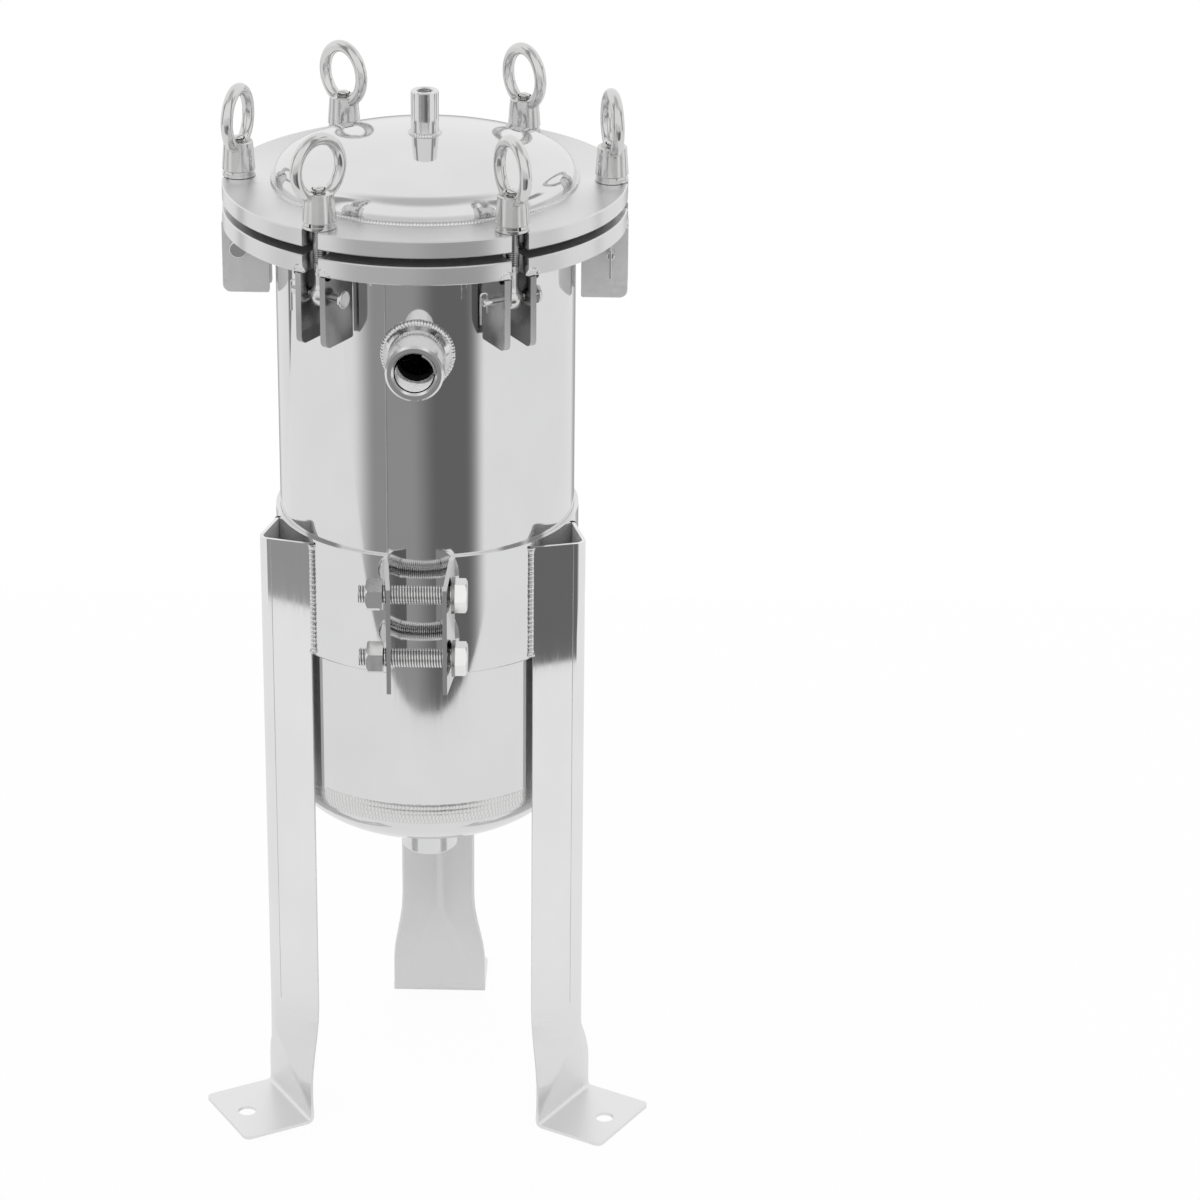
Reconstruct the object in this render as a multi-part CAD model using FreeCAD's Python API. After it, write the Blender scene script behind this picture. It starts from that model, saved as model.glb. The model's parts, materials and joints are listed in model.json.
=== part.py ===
import FreeCAD, Part
import math
import os
from FreeCAD import Vector

# Bag filter housing: a stainless vessel with a bolted lid, a side inlet, a bottom
# outlet and three sheet legs on a clamp band. Millimetres, +Z up. The origin is on
# the vessel axis at floor level, and -Y is the inlet side.

# Vessel
BODY_R = 109.5
WALL = 3.0
SEAM_Z = 283.0
HEAD_TANGENT_Z = 276.0
HEAD_DEPTH = 52.0
WELD_GAP = 0.1

# Flange, gasket and lid
FLANGE_OVERHANG = 37.5
FLANGE_BOTTOM_Z = 703.0
FLANGE_THICK = 13.5
GASKET_THICK = 6.2
GASKET_SETBACK = 2.5
GASKET_WIDTH = 14.5
LID_THICK = 12.5
LID_BORE_LEDGE = 11.0
EDGE_CHAMFER = 0.8

# Lid dome and vent pipe
DOME_OVERSIZE = 0.5
DOME_WALL = 3.0
DOME_SKIRT = 2.0
DOME_KNUCKLE_R = 16.0
DOME_CROWN_R = 300.0
VENT_OUT_R = 10.1
VENT_BORE_R = 5.9
VENT_HEIGHT = 31.5

# Swing bolt closures
BOLT_COUNT = 6
BOLT_INSET = 12.0
SLOT_WIDTH = 13.6
THREAD_R = 5.0
SHANK_R = 4.4
THREAD_START = 24.0
EYE_R = 8.0
EYE_WIDTH = 14.6
BOLT_TIP_PROUD = 4.0
BOLT_TIP_TAPER = 2.0
PIN_BELOW_FLANGE = 18.0

# Lugs, pivot pins and hairpin clips
EAR_GAP = 16.0
EAR_THICK = 4.6
EAR_DROP = 53.0
EAR_SETBACK = 4.1
EAR_PROUD = 0.4
EAR_OUT_CORNER = 6.0
EAR_IN_CORNER = 1.5
PIN_R = 3.0
PIN_FIT = 0.08
PIN_HEAD_R = 6.5
PIN_HEAD_THICK = 2.5
PIN_HEAD_ROUND = 1.0
PIN_HEAD_STANDOFF = 6.0
PIN_TAIL = 11.0
CLIP_WIRE_R = 0.8
CLIP_FROM_END = 4.0
CLIP_SHORT_LEG = 5.0
CLIP_LONG_LEG = 13.0
CLIP_RISE = 4.0
CLIP_CLEARANCE = 0.5
CLIP_BEND_R = 2.0

# Eye nuts and their washers
FLAT_WASHER_R = 12.0
FLAT_WASHER_THICK = 2.0
SPRING_WASHER_R = 11.3
SPRING_WASHER_THICK = 2.2
SPRING_WASHER_SPLIT = 1.6
WASHER_BORE_R = 5.6
SEAT_GAP = 0.3
NUT_BASE_R = 12.1
NUT_TOP_R = 10.6
NUT_HEIGHT = 21.6
NUT_FIT = 0.06
NUT_EDGE = 0.8
RING_R = 20.9
RING_BAR_R = 4.35
RING_TURN_DEG = (-77.0, -53.0, -46.0, 74.0, 47.0, -62.0)

# Inlet and outlet couplings
PORT_OUT_R = 20.8
PORT_BORE_R = 14.6
PORT_CHAMFER = 1.6
SHELL_HOLE_R = 16.0
INLET_Z = 638.5
INLET_STAND = 39.8
INLET_WELD_R = 25.0
INLET_WELD_RUN = 6.0
INLET_ROOT_DEPTH = 11.5
OUTLET_MOUTH_Z = 197.0

# Clamp band and its bolts
BAND_BOTTOM_Z = 391.0
BAND_TOP_Z = 483.5
BAND_THICK = 3.2
SPLIT_ROOT = 22.5
SPLIT_TIP = 18.7
CLAMP_EAR_STAND = 38.0
CLAMP_EAR_SLOPE = 11.0
CLAMP_BOLT_R = 7.0
CLAMP_HOLE_R = 7.4
CLAMP_BOLT_STAND = 23.5
CLAMP_BOLT_Z = (413.8, 463.5)
CLAMP_BOLT_LENGTH = 70.0
CLAMP_NUT_FLATS = 22.0
CLAMP_NUT_THICK = 11.9
CLAMP_HEAD_THICK = 8.8
CLAMP_CORNER_CUT = 0.44
CLAMP_TIP_CHAMFER = 1.0
CLAMP_WASHER_R = 13.5
CLAMP_WASHER_THICK = 2.4
CLAMP_BEARING_X = 24.9

# Legs
LEG_ANGLES = {"leg_left": 210.0, "leg_right": 330.0, "leg_rear": 90.0}
LEG_SHEET = 2.5
LEG_BELOW_BAND_TOP = 3.5
LEG_HALF_WIDTH = 29.0
LEG_FACE_DEG = 45.5
LEG_NOSE_IN_R = 5.0
LEG_NOSE_FLAT = 0.2
LEG_SPREAD_TOP_Z = 95.0
LEG_NOSE_END_Z = 70.0
LEG_SPREAD_END_Z = 28.0
LEG_FLAT_Z = 8.0
LEG_SPREAD_STEPS = 2
LEG_FLARE_STEPS = 7
LEG_CREASE_END_R = 24.0
LEG_CREASE_MARGIN = 2.0
LEG_FLAT_HOLLOW = 0.05
FOOT_FACE_SETBACK = 10.8
FOOT_HALF_WIDTH = 37.1
FOOT_LENGTH = 57.9
FOOT_BEND_IN_R = 3.0
FOOT_CORNER_R = 5.0
FOOT_HOLE_R = 7.0
FOOT_HOLE_INSET = 18.2

# Basket, bag and their seat inside the vessel
SEAT_BELOW_FLANGE = 118.5
SEAT_THICK = 5.0
SEAT_WIDTH = 18.5
BASKET_CLEARANCE = 2.0
BASKET_WALL = 1.5
BASKET_RIM_CLEARANCE = 5.5
BASKET_RIM_THICK = 3.0
BASKET_FLOOR_CLEARANCE = 36.0
BASKET_HOLE_R = 6.0
BASKET_HOLE_COLUMNS = 12
BASKET_HOLE_ROWS = 8
BAG_GAP = 1.2
BAG_WALL = 2.0
BAG_END_R = 20.0
BAG_RING_INSIDE = 7.0
BAG_RING_OUTSIDE = 5.0
BAG_RING_HEIGHT = 5.0
HANDLE_ROD_R = 2.5
HANDLE_INSET = 4.5
HANDLE_RISE = 44.0
HANDLE_BEND_R = 24.0

# Places worked out from the sizes above
SHELL_IN_R = BODY_R - WALL
HEAD_INSIDE_Z = HEAD_TANGENT_Z - HEAD_DEPTH + WALL
FLANGE_R = BODY_R + FLANGE_OVERHANG
FLANGE_TOP_Z = FLANGE_BOTTOM_Z + FLANGE_THICK
GASKET_IN_R = BODY_R + GASKET_SETBACK
GASKET_OUT_R = GASKET_IN_R + GASKET_WIDTH
LID_BOTTOM_Z = FLANGE_TOP_Z + GASKET_THICK
LID_TOP_Z = LID_BOTTOM_Z + LID_THICK
DOME_R = BODY_R + DOME_OVERSIZE
LID_BORE_R = DOME_R - LID_BORE_LEDGE
BOLT_CIRCLE_R = FLANGE_R - BOLT_INSET
EAR_IN_R = BODY_R + EAR_SETBACK
EAR_OUT_R = FLANGE_R + EAR_PROUD
PIN_Z = FLANGE_BOTTOM_Z - PIN_BELOW_FLANGE
FLAT_WASHER_Z = LID_TOP_Z + SEAT_GAP
SPRING_WASHER_Z = FLAT_WASHER_Z + FLAT_WASHER_THICK
NUT_Z = SPRING_WASHER_Z + SPRING_WASHER_THICK
NUT_TOP_Z = NUT_Z + NUT_HEIGHT
RING_Z = NUT_TOP_Z + RING_R - RING_BAR_R
BOLT_TIP_Z = NUT_TOP_Z + BOLT_TIP_PROUD
INLET_REACH = BODY_R + INLET_STAND
INLET_ROOT_R = BODY_R - INLET_ROOT_DEPTH
BAND_IN_R = BODY_R + WELD_GAP
BAND_OUT_R = BAND_IN_R + BAND_THICK
CLAMP_EAR_REACH = BODY_R + CLAMP_EAR_STAND
CLAMP_BOLT_REACH = BODY_R + CLAMP_BOLT_STAND
CLAMP_HEAD_X = CLAMP_BEARING_X + CLAMP_WASHER_THICK
LEG_INNER_R = BAND_OUT_R + WELD_GAP
LEG_TOP_Z = BAND_TOP_Z - LEG_BELOW_BAND_TOP
FOOT_FACE_R = BODY_R + FOOT_FACE_SETBACK
FOOT_REACH = FOOT_FACE_R + FOOT_LENGTH
SEAT_Z = FLANGE_TOP_Z - SEAT_BELOW_FLANGE
SEAT_BORE_R = SHELL_IN_R - SEAT_WIDTH
BASKET_R = SEAT_BORE_R - BASKET_CLEARANCE
BASKET_IN_R = BASKET_R - BASKET_WALL
BASKET_RIM_R = SHELL_IN_R - BASKET_RIM_CLEARANCE
BASKET_RIM_Z = SEAT_Z + SEAT_THICK
BASKET_RIM_TOP_Z = BASKET_RIM_Z + BASKET_RIM_THICK
BASKET_BOTTOM_Z = HEAD_INSIDE_Z + BASKET_FLOOR_CLEARANCE
BAG_RING_IN_R = BASKET_R - BAG_RING_INSIDE
BAG_RING_OUT_R = BASKET_R + BAG_RING_OUTSIDE
HANDLE_HALF_SPAN = BASKET_RIM_R - HANDLE_INSET
CUT_MARGIN = 1.0
SAME = 0.01
UP = Vector(0, 0, 1)
CENTRE = Vector(0, 0, 0)


def save(name, shape):
    """Write one sub-part to its own file."""
    shape.exportStep("parts/" + name + ".step")


def turned(shape, degrees, axis=UP):
    copy = shape.copy()
    copy.rotate(CENTRE, axis, degrees)
    return copy


def disc(radius, z, height):
    return Part.makeCylinder(radius, height, Vector(0, 0, z), UP)


def ring(out_r, in_r, z, height):
    return disc(out_r, z, height).cut(disc(in_r, z - CUT_MARGIN, height + CUT_MARGIN * 2))


def chamfered_ring(out_r, in_r, z, height, edge):
    """A flat ring with both outer rims chamfered."""
    top = z + height
    outline = [(in_r, z), (out_r - edge, z), (out_r, z + edge), (out_r, top - edge),
               (out_r - edge, top), (in_r, top)]
    return spun(polyline(outline))


def polyline(points):
    """Edges of a closed outline in the (radius, z) plane."""
    corners = [Vector(r, 0, z) for r, z in points]
    return [Part.makeLine(a, b) for a, b in zip(corners, corners[1:] + corners[:1])]


def spun(edges):
    face = Part.Face(Part.Wire(Part.__sortEdges__(edges)))
    return face.revolve(CENTRE, UP, 360)


def arc_between(start, middle, end):
    return Part.Arc(start, middle, end).toShape()


def radial_slot(width, centre_r, z, height):
    """A cutter for a slot that is open outwards, along +X."""
    reach = FLANGE_R * 1.2 - centre_r
    channel = Part.makeBox(reach, width, height, Vector(centre_r, -width / 2, z))
    end = Part.makeCylinder(width / 2, height, Vector(centre_r, 0, z), UP)
    return channel.fuse(end)


def with_bolt_slots(plate, z, height):
    slot = radial_slot(SLOT_WIDTH, BOLT_CIRCLE_R, z - CUT_MARGIN, height + CUT_MARGIN * 2)
    for number in range(BOLT_COUNT):
        plate = plate.cut(turned(slot, bolt_angle(number)))
    return plate


def bolt_angle(number):
    return number * 360.0 / BOLT_COUNT


def rounded_bar(points, radius, bend_r):
    """A round bar along straight runs joined by tangent arcs."""
    edges = []
    start = points[0]
    for before, corner, after in zip(points, points[1:], points[2:]):
        into = (corner - before).normalize()
        out = (after - corner).normalize()
        half_turn = into.getAngle(out) / 2
        setback = bend_r * math.tan(half_turn)
        first = corner - into * setback
        last = corner + out * setback
        inward = (out - into).normalize()
        centre = corner + inward * (bend_r / math.cos(half_turn))
        edges.append(Part.makeLine(start, first))
        edges.append(arc_between(first, centre - inward * bend_r, last))
        start = last
    edges.append(Part.makeLine(start, points[-1]))
    path = Part.Wire(edges)
    circle = Part.Circle(points[0], points[1] - points[0], radius).toShape()
    return path.makePipeShell([Part.Wire([circle])], True, False)


# Vessel pieces
def body_shell():
    """The rolled tube, open at the top, with the hole for the inlet."""
    tube = ring(BODY_R, SHELL_IN_R, SEAM_Z, FLANGE_TOP_Z - SEAM_Z)
    hole = Part.makeCylinder(SHELL_HOLE_R, BODY_R * 2, Vector(0, 0, INLET_Z), Vector(0, -1, 0))
    return tube.cut(hole)


def elliptic_arc(half_width, depth, z):
    """A quarter ellipse from the tangent line down to the axis."""
    ellipse = Part.Ellipse(Vector(half_width, 0, z), Vector(0, 0, z - depth), Vector(0, 0, z))
    if half_width < depth:
        ellipse = Part.Ellipse(Vector(0, 0, z - depth), Vector(half_width, 0, z), Vector(0, 0, z))
    slant = math.radians(45)
    middle = Vector(half_width * math.cos(slant), 0, z - depth * math.sin(slant))
    first = ellipse.parameter(Vector(half_width, 0, z))
    last = ellipse.parameter(Vector(0, 0, z - depth))
    low, high = sorted((first, last))
    piece = Part.ArcOfEllipse(ellipse, low, high)
    if piece.toShape().distToShape(Part.Vertex(middle))[0] > WALL:
        piece = Part.ArcOfEllipse(ellipse, high, low + 2 * math.pi)
    return piece.toShape()


def bottom_head():
    """The pressed elliptical bottom, with a short straight skirt up to the seam."""
    inner_depth = HEAD_DEPTH - WALL
    edges = [
        elliptic_arc(BODY_R, HEAD_DEPTH, HEAD_TANGENT_Z),
        Part.makeLine(Vector(0, 0, HEAD_TANGENT_Z - HEAD_DEPTH),
                      Vector(0, 0, HEAD_TANGENT_Z - inner_depth)),
        elliptic_arc(SHELL_IN_R, inner_depth, HEAD_TANGENT_Z),
        Part.makeLine(Vector(SHELL_IN_R, 0, HEAD_TANGENT_Z), Vector(SHELL_IN_R, 0, SEAM_Z)),
        Part.makeLine(Vector(SHELL_IN_R, 0, SEAM_Z), Vector(BODY_R, 0, SEAM_Z)),
        Part.makeLine(Vector(BODY_R, 0, SEAM_Z), Vector(BODY_R, 0, HEAD_TANGENT_Z)),
    ]
    return spun(edges).cut(disc(PORT_OUT_R + WELD_GAP, OUTLET_MOUTH_Z, HEAD_DEPTH * 2))


def body_flange():
    plate = chamfered_ring(FLANGE_R, BODY_R + WELD_GAP, FLANGE_BOTTOM_Z, FLANGE_THICK, EDGE_CHAMFER)
    return with_bolt_slots(plate, FLANGE_BOTTOM_Z, FLANGE_THICK)


def coupling_outline(length, weld_r, weld_run):
    """Profile of a half coupling that stands on z = 0 and opens at z = length."""
    return [(PORT_BORE_R, 0), (weld_r, 0), (PORT_OUT_R, weld_run),
            (PORT_OUT_R, length - PORT_CHAMFER), (PORT_OUT_R - PORT_CHAMFER, length),
            (PORT_BORE_R + PORT_CHAMFER, length), (PORT_BORE_R, length - PORT_CHAMFER)]


def inlet_coupling():
    """The half coupling on the front of the shell, with its weld cone."""
    root = INLET_ROOT_R
    length = INLET_REACH - root
    dip = BODY_R - math.sqrt(BODY_R ** 2 - PORT_OUT_R ** 2)
    run = BODY_R - root + INLET_WELD_RUN
    flare = INLET_WELD_R + (INLET_WELD_R - PORT_OUT_R) * (BODY_R - root - dip) / (INLET_WELD_RUN + dip)
    coupling = spun(polyline(coupling_outline(length, flare, run)))
    coupling.rotate(CENTRE, Vector(1, 0, 0), 90)
    coupling.translate(Vector(0, -root, INLET_Z))
    return coupling.cut(disc(BODY_R + WELD_GAP, INLET_Z - BODY_R, BODY_R * 2))


def outlet_coupling():
    """The half coupling let through the middle of the bottom head, opening down."""
    length = HEAD_INSIDE_Z - OUTLET_MOUTH_Z
    coupling = spun(polyline(coupling_outline(length, PORT_OUT_R, length / 2)))
    coupling.rotate(CENTRE, Vector(1, 0, 0), 180)
    coupling.translate(Vector(0, 0, HEAD_INSIDE_Z))
    return coupling


def basket_seat_ring():
    return ring(SHELL_IN_R - WELD_GAP, SEAT_BORE_R, SEAT_Z, SEAT_THICK)


def filter_basket():
    """The perforated restrainer basket, which hangs by its rim on the seat ring."""
    depth = BASKET_RIM_TOP_Z - BASKET_BOTTOM_Z
    basket = disc(BASKET_R, BASKET_BOTTOM_Z, depth)
    basket = basket.cut(disc(BASKET_IN_R, BASKET_BOTTOM_Z + BASKET_WALL, depth))
    row_pitch = (BASKET_RIM_Z - BASKET_BOTTOM_Z) / (BASKET_HOLE_ROWS + 1)
    drills = []
    for row in range(BASKET_HOLE_ROWS):
        z = BASKET_BOTTOM_Z + row_pitch * (row + 1)
        for column in range(BASKET_HOLE_COLUMNS // 2):
            turn = (column + row % 2 * 0.5) * 360.0 / BASKET_HOLE_COLUMNS
            drill = Part.makeCylinder(BASKET_HOLE_R, BASKET_R * 3, Vector(0, -BASKET_R * 1.5, z),
                                      Vector(0, 1, 0))
            drills.append(turned(drill, turn))
    return basket.cut(drills)


def basket_rim():
    """The ring round the basket's mouth."""
    return ring(BASKET_RIM_R, BASKET_R + WELD_GAP, BASKET_RIM_Z, BASKET_RIM_THICK)


def basket_handle():
    """The bail across the basket rim, clear of the bag ring."""
    foot_z = BASKET_RIM_TOP_Z
    top_z = foot_z + HANDLE_RISE
    points = [Vector(-HANDLE_HALF_SPAN, 0, foot_z), Vector(-HANDLE_HALF_SPAN, 0, top_z),
              Vector(HANDLE_HALF_SPAN, 0, top_z), Vector(HANDLE_HALF_SPAN, 0, foot_z)]
    return rounded_bar(points, HANDLE_ROD_R, HANDLE_BEND_R)


def bag_ring():
    return ring(BAG_RING_OUT_R, BAG_RING_IN_R, BASKET_RIM_TOP_Z, BAG_RING_HEIGHT)


def filter_bag():
    """The felt bag, a closed-bottom sleeve a little smaller than the basket."""
    out_r = BASKET_IN_R - BAG_GAP
    top = BASKET_RIM_TOP_Z - SEAT_GAP
    bottom = BASKET_BOTTOM_Z + BASKET_WALL + SEAT_GAP
    outer = disc(out_r, bottom, top - bottom)
    rim = [edge for edge in outer.Edges if abs(edge.BoundBox.ZMax - bottom) < SAME
           and edge.BoundBox.XLength > out_r]
    outer = outer.makeFillet(BAG_END_R, rim)
    return outer.cut(bag_cavity(out_r, bottom, top))


def bag_cavity(out_r, bottom, top):
    """The inside of the bag, with its lower edge rounded as the outside is."""
    radius = out_r - BAG_WALL
    floor = bottom + BAG_WALL
    cavity = disc(radius, floor, top - floor + CUT_MARGIN)
    rim = [edge for edge in cavity.Edges if abs(edge.BoundBox.ZMax - floor) < SAME
           and edge.BoundBox.XLength > radius]
    return cavity.makeFillet(BAG_END_R - BAG_WALL, rim)


# Closure pieces, each made at angle 0 with +X pointing outwards
def lug_pair():
    """Two ears welded under the flange, drilled for the pivot pin."""
    bottom = FLANGE_BOTTOM_Z - EAR_DROP
    width = EAR_OUT_R - EAR_IN_R
    ears = []
    for side in (-1, 1):
        near = EAR_GAP / 2 if side > 0 else -EAR_GAP / 2 - EAR_THICK
        ear = Part.makeBox(width, EAR_THICK, EAR_DROP, Vector(EAR_IN_R, near, bottom))
        ear = ear.makeFillet(EAR_OUT_CORNER, [corner_edge(ear, EAR_OUT_R, bottom)])
        ear = ear.makeFillet(EAR_IN_CORNER, [corner_edge(ear, EAR_IN_R, bottom)])
        ears.append(ear)
    hole = Part.makeCylinder(PIN_R + PIN_FIT, EAR_GAP * 4,
                             Vector(BOLT_CIRCLE_R, -EAR_GAP * 2, PIN_Z), Vector(0, 1, 0))
    return Part.makeCompound([ear.cut(hole) for ear in ears])


def corner_edge(shape, x, z):
    """The edge along Y at the given corner."""
    for edge in shape.Edges:
        box = edge.BoundBox
        flat = box.XLength < SAME and box.ZLength < SAME
        if flat and abs(box.XMin - x) < SAME and abs(box.ZMin - z) < SAME:
            return edge
    raise ValueError("no edge at this corner")


def pivot_pin():
    """Headed pin across the ears, cross-drilled for its clip."""
    face = EAR_GAP / 2 + EAR_THICK
    head_in = face + PIN_HEAD_STANDOFF
    tail = -face - PIN_TAIL
    shank = Part.makeCylinder(PIN_R, head_in - tail + CUT_MARGIN, Vector(BOLT_CIRCLE_R, tail, PIN_Z),
                              Vector(0, 1, 0))
    rim = [edge for edge in shank.Edges if edge.BoundBox.YLength < SAME
           and abs(edge.BoundBox.YMin - tail) < SAME]
    shank = shank.makeChamfer(EDGE_CHAMFER, rim)
    head = Part.makeCylinder(PIN_HEAD_R, PIN_HEAD_THICK, Vector(BOLT_CIRCLE_R, head_in, PIN_Z),
                             Vector(0, 1, 0))
    rim = [edge for edge in head.Edges if edge.BoundBox.YLength < SAME
           and edge.BoundBox.YMin > head_in + PIN_HEAD_THICK / 2]
    head = head.makeFillet(PIN_HEAD_ROUND, rim)
    clip_y = tail + CLIP_FROM_END
    hole = Part.makeCylinder(CLIP_WIRE_R + WELD_GAP, PIN_R * 4,
                             Vector(BOLT_CIRCLE_R, clip_y, PIN_Z - PIN_R * 2), UP)
    return shank.fuse(head).cut(hole).removeSplitter()


def hairpin_clip():
    """A wire clip: one leg through the pin, bent back over the pin's end."""
    tail = -EAR_GAP / 2 - EAR_THICK - PIN_TAIL
    clip_y = tail + CLIP_FROM_END
    outer_y = tail - CLIP_WIRE_R - CLIP_CLEARANCE
    top = PIN_Z + PIN_R + CLIP_RISE
    under = PIN_Z - PIN_R
    points = [Vector(BOLT_CIRCLE_R, clip_y, under - CLIP_SHORT_LEG), Vector(BOLT_CIRCLE_R, clip_y, top),
              Vector(BOLT_CIRCLE_R, outer_y, top), Vector(BOLT_CIRCLE_R, outer_y, under - CLIP_LONG_LEG)]
    return rounded_bar(points, CLIP_WIRE_R, CLIP_BEND_R)


def swing_bolt():
    """A ball-eyed bolt: eye on the pin, plain shank, thread up through the nut."""
    eye = Part.makeSphere(EYE_R, Vector(BOLT_CIRCLE_R, 0, PIN_Z))
    slab = Part.makeBox(EYE_R * 4, EYE_WIDTH, EYE_R * 4,
                        Vector(BOLT_CIRCLE_R - EYE_R * 2, -EYE_WIDTH / 2, PIN_Z - EYE_R * 2))
    eye = eye.common(slab)
    at_pin = Vector(BOLT_CIRCLE_R, 0, PIN_Z)
    shank = Part.makeCylinder(SHANK_R, THREAD_START, at_pin, UP)
    thread_z = PIN_Z + THREAD_START
    straight = BOLT_TIP_Z - thread_z - BOLT_TIP_TAPER
    thread = Part.makeCylinder(THREAD_R, straight, Vector(BOLT_CIRCLE_R, 0, thread_z), UP)
    tip = Part.makeCone(THREAD_R, THREAD_R - BOLT_TIP_TAPER, BOLT_TIP_TAPER,
                        Vector(BOLT_CIRCLE_R, 0, thread_z + straight), UP)
    hole = Part.makeCylinder(PIN_R + PIN_FIT, EYE_WIDTH * 2,
                             Vector(BOLT_CIRCLE_R, -EYE_WIDTH, PIN_Z), Vector(0, 1, 0))
    return eye.fuse([shank, thread, tip]).removeSplitter().cut(hole)


def flat_washer():
    washer = ring(FLAT_WASHER_R, WASHER_BORE_R, FLAT_WASHER_Z, FLAT_WASHER_THICK)
    washer.translate(Vector(BOLT_CIRCLE_R, 0, 0))
    return washer


def spring_washer():
    washer = ring(SPRING_WASHER_R, WASHER_BORE_R, SPRING_WASHER_Z, SPRING_WASHER_THICK)
    split = Part.makeBox(SPRING_WASHER_R * 2, SPRING_WASHER_SPLIT, SPRING_WASHER_THICK * 3,
                         Vector(0, -SPRING_WASHER_SPLIT / 2, SPRING_WASHER_Z - SPRING_WASHER_THICK))
    washer = washer.cut(split)
    washer.translate(Vector(BOLT_CIRCLE_R, 0, 0))
    return washer


def eye_nut(ring_turn):
    """Tapered nut with a round-bar ring let into its top; ring_turn is from +X."""
    top = NUT_TOP_Z
    outline = [(0, NUT_Z), (NUT_BASE_R - NUT_EDGE, NUT_Z), (NUT_BASE_R, NUT_Z + NUT_EDGE),
               (NUT_TOP_R, top - NUT_EDGE), (NUT_TOP_R - NUT_EDGE, top), (0, top)]
    body = spun(polyline(outline))
    loop = Part.makeTorus(RING_R, RING_BAR_R, Vector(0, 0, RING_Z), Vector(0, 1, 0))
    bore_r = THREAD_R + NUT_FIT
    nut = body.fuse(turned(loop, ring_turn)).removeSplitter()
    bore = disc(bore_r, NUT_Z - CUT_MARGIN, BOLT_TIP_Z - NUT_Z + CUT_MARGIN + NUT_FIT)
    nut = nut.cut(bore)
    nut.translate(Vector(BOLT_CIRCLE_R, 0, 0))
    return nut


# Lid pieces
def lid_plate():
    plate = chamfered_ring(FLANGE_R, LID_BORE_R, LID_BOTTOM_Z, LID_THICK, EDGE_CHAMFER)
    return with_bolt_slots(plate, LID_BOTTOM_Z, LID_THICK)


def dome_crown_centre_z():
    rise = math.sqrt((DOME_CROWN_R - DOME_KNUCKLE_R) ** 2 - (DOME_R - DOME_KNUCKLE_R) ** 2)
    return LID_TOP_Z + DOME_SKIRT - rise


def dome_profile(inset):
    """Skirt, knuckle and crown of the dome, offset inwards by inset, as edges."""
    crown_z = dome_crown_centre_z()
    knuckle_r = DOME_R - DOME_KNUCKLE_R
    knuckle_z = LID_TOP_Z + DOME_SKIRT
    lean = math.atan2(knuckle_z - crown_z, knuckle_r)
    small = DOME_KNUCKLE_R - inset
    large = DOME_CROWN_R - inset

    def knuckle(angle):
        return Vector(knuckle_r + small * math.cos(angle), 0, knuckle_z + small * math.sin(angle))

    def crown(angle):
        return Vector(large * math.cos(angle), 0, crown_z + large * math.sin(angle))

    top = math.pi / 2
    return [
        Part.makeLine(Vector(DOME_R - inset, 0, LID_TOP_Z), knuckle(0)),
        arc_between(knuckle(0), knuckle(lean / 2), knuckle(lean)),
        arc_between(crown(lean), crown((lean + top) / 2), crown(top)),
    ]


def lid_dome():
    """The pressed dome on the lid plate, with the hole for the vent pipe."""
    outer = dome_profile(0)
    inner = dome_profile(DOME_WALL)
    apex = dome_crown_centre_z() + DOME_CROWN_R
    edges = outer + inner
    edges.append(Part.makeLine(Vector(0, 0, apex - DOME_WALL), Vector(0, 0, apex)))
    edges.append(Part.makeLine(Vector(DOME_R - DOME_WALL, 0, LID_TOP_Z), Vector(DOME_R, 0, LID_TOP_Z)))
    return spun(edges).cut(disc(VENT_OUT_R + WELD_GAP, LID_TOP_Z, DOME_R))


def vent_pipe():
    """The threaded pipe stub in the middle of the dome."""
    apex = dome_crown_centre_z() + DOME_CROWN_R
    bottom = apex - DOME_WALL
    top = apex + VENT_HEIGHT
    edge = EDGE_CHAMFER
    outline = [(VENT_BORE_R, bottom), (VENT_OUT_R, bottom), (VENT_OUT_R, top - edge),
               (VENT_OUT_R - edge, top), (VENT_BORE_R + edge, top), (VENT_BORE_R, top - edge)]
    return spun(polyline(outline))


# Clamp pieces
def clamp_ear(side):
    """One end of the band, turned out from the split towards -Y."""
    slope = (SPLIT_ROOT - SPLIT_TIP) / (CLAMP_EAR_REACH - BAND_IN_R)
    root_y = -math.sqrt(BAND_IN_R ** 2 - SPLIT_ROOT ** 2)
    root_x = SPLIT_ROOT + slope * (BAND_IN_R + root_y)
    outer = BAND_THICK / math.cos(math.atan(slope))
    corners = [(root_x, root_y), (SPLIT_TIP, -CLAMP_EAR_REACH),
               (SPLIT_TIP + outer, -CLAMP_EAR_REACH), (root_x + outer, root_y)]
    wire = Part.makePolygon([Vector(x * side, y, BAND_BOTTOM_Z) for x, y in corners + corners[:1]])
    return Part.Face(wire).extrude(Vector(0, 0, BAND_TOP_Z - BAND_BOTTOM_Z))


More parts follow.
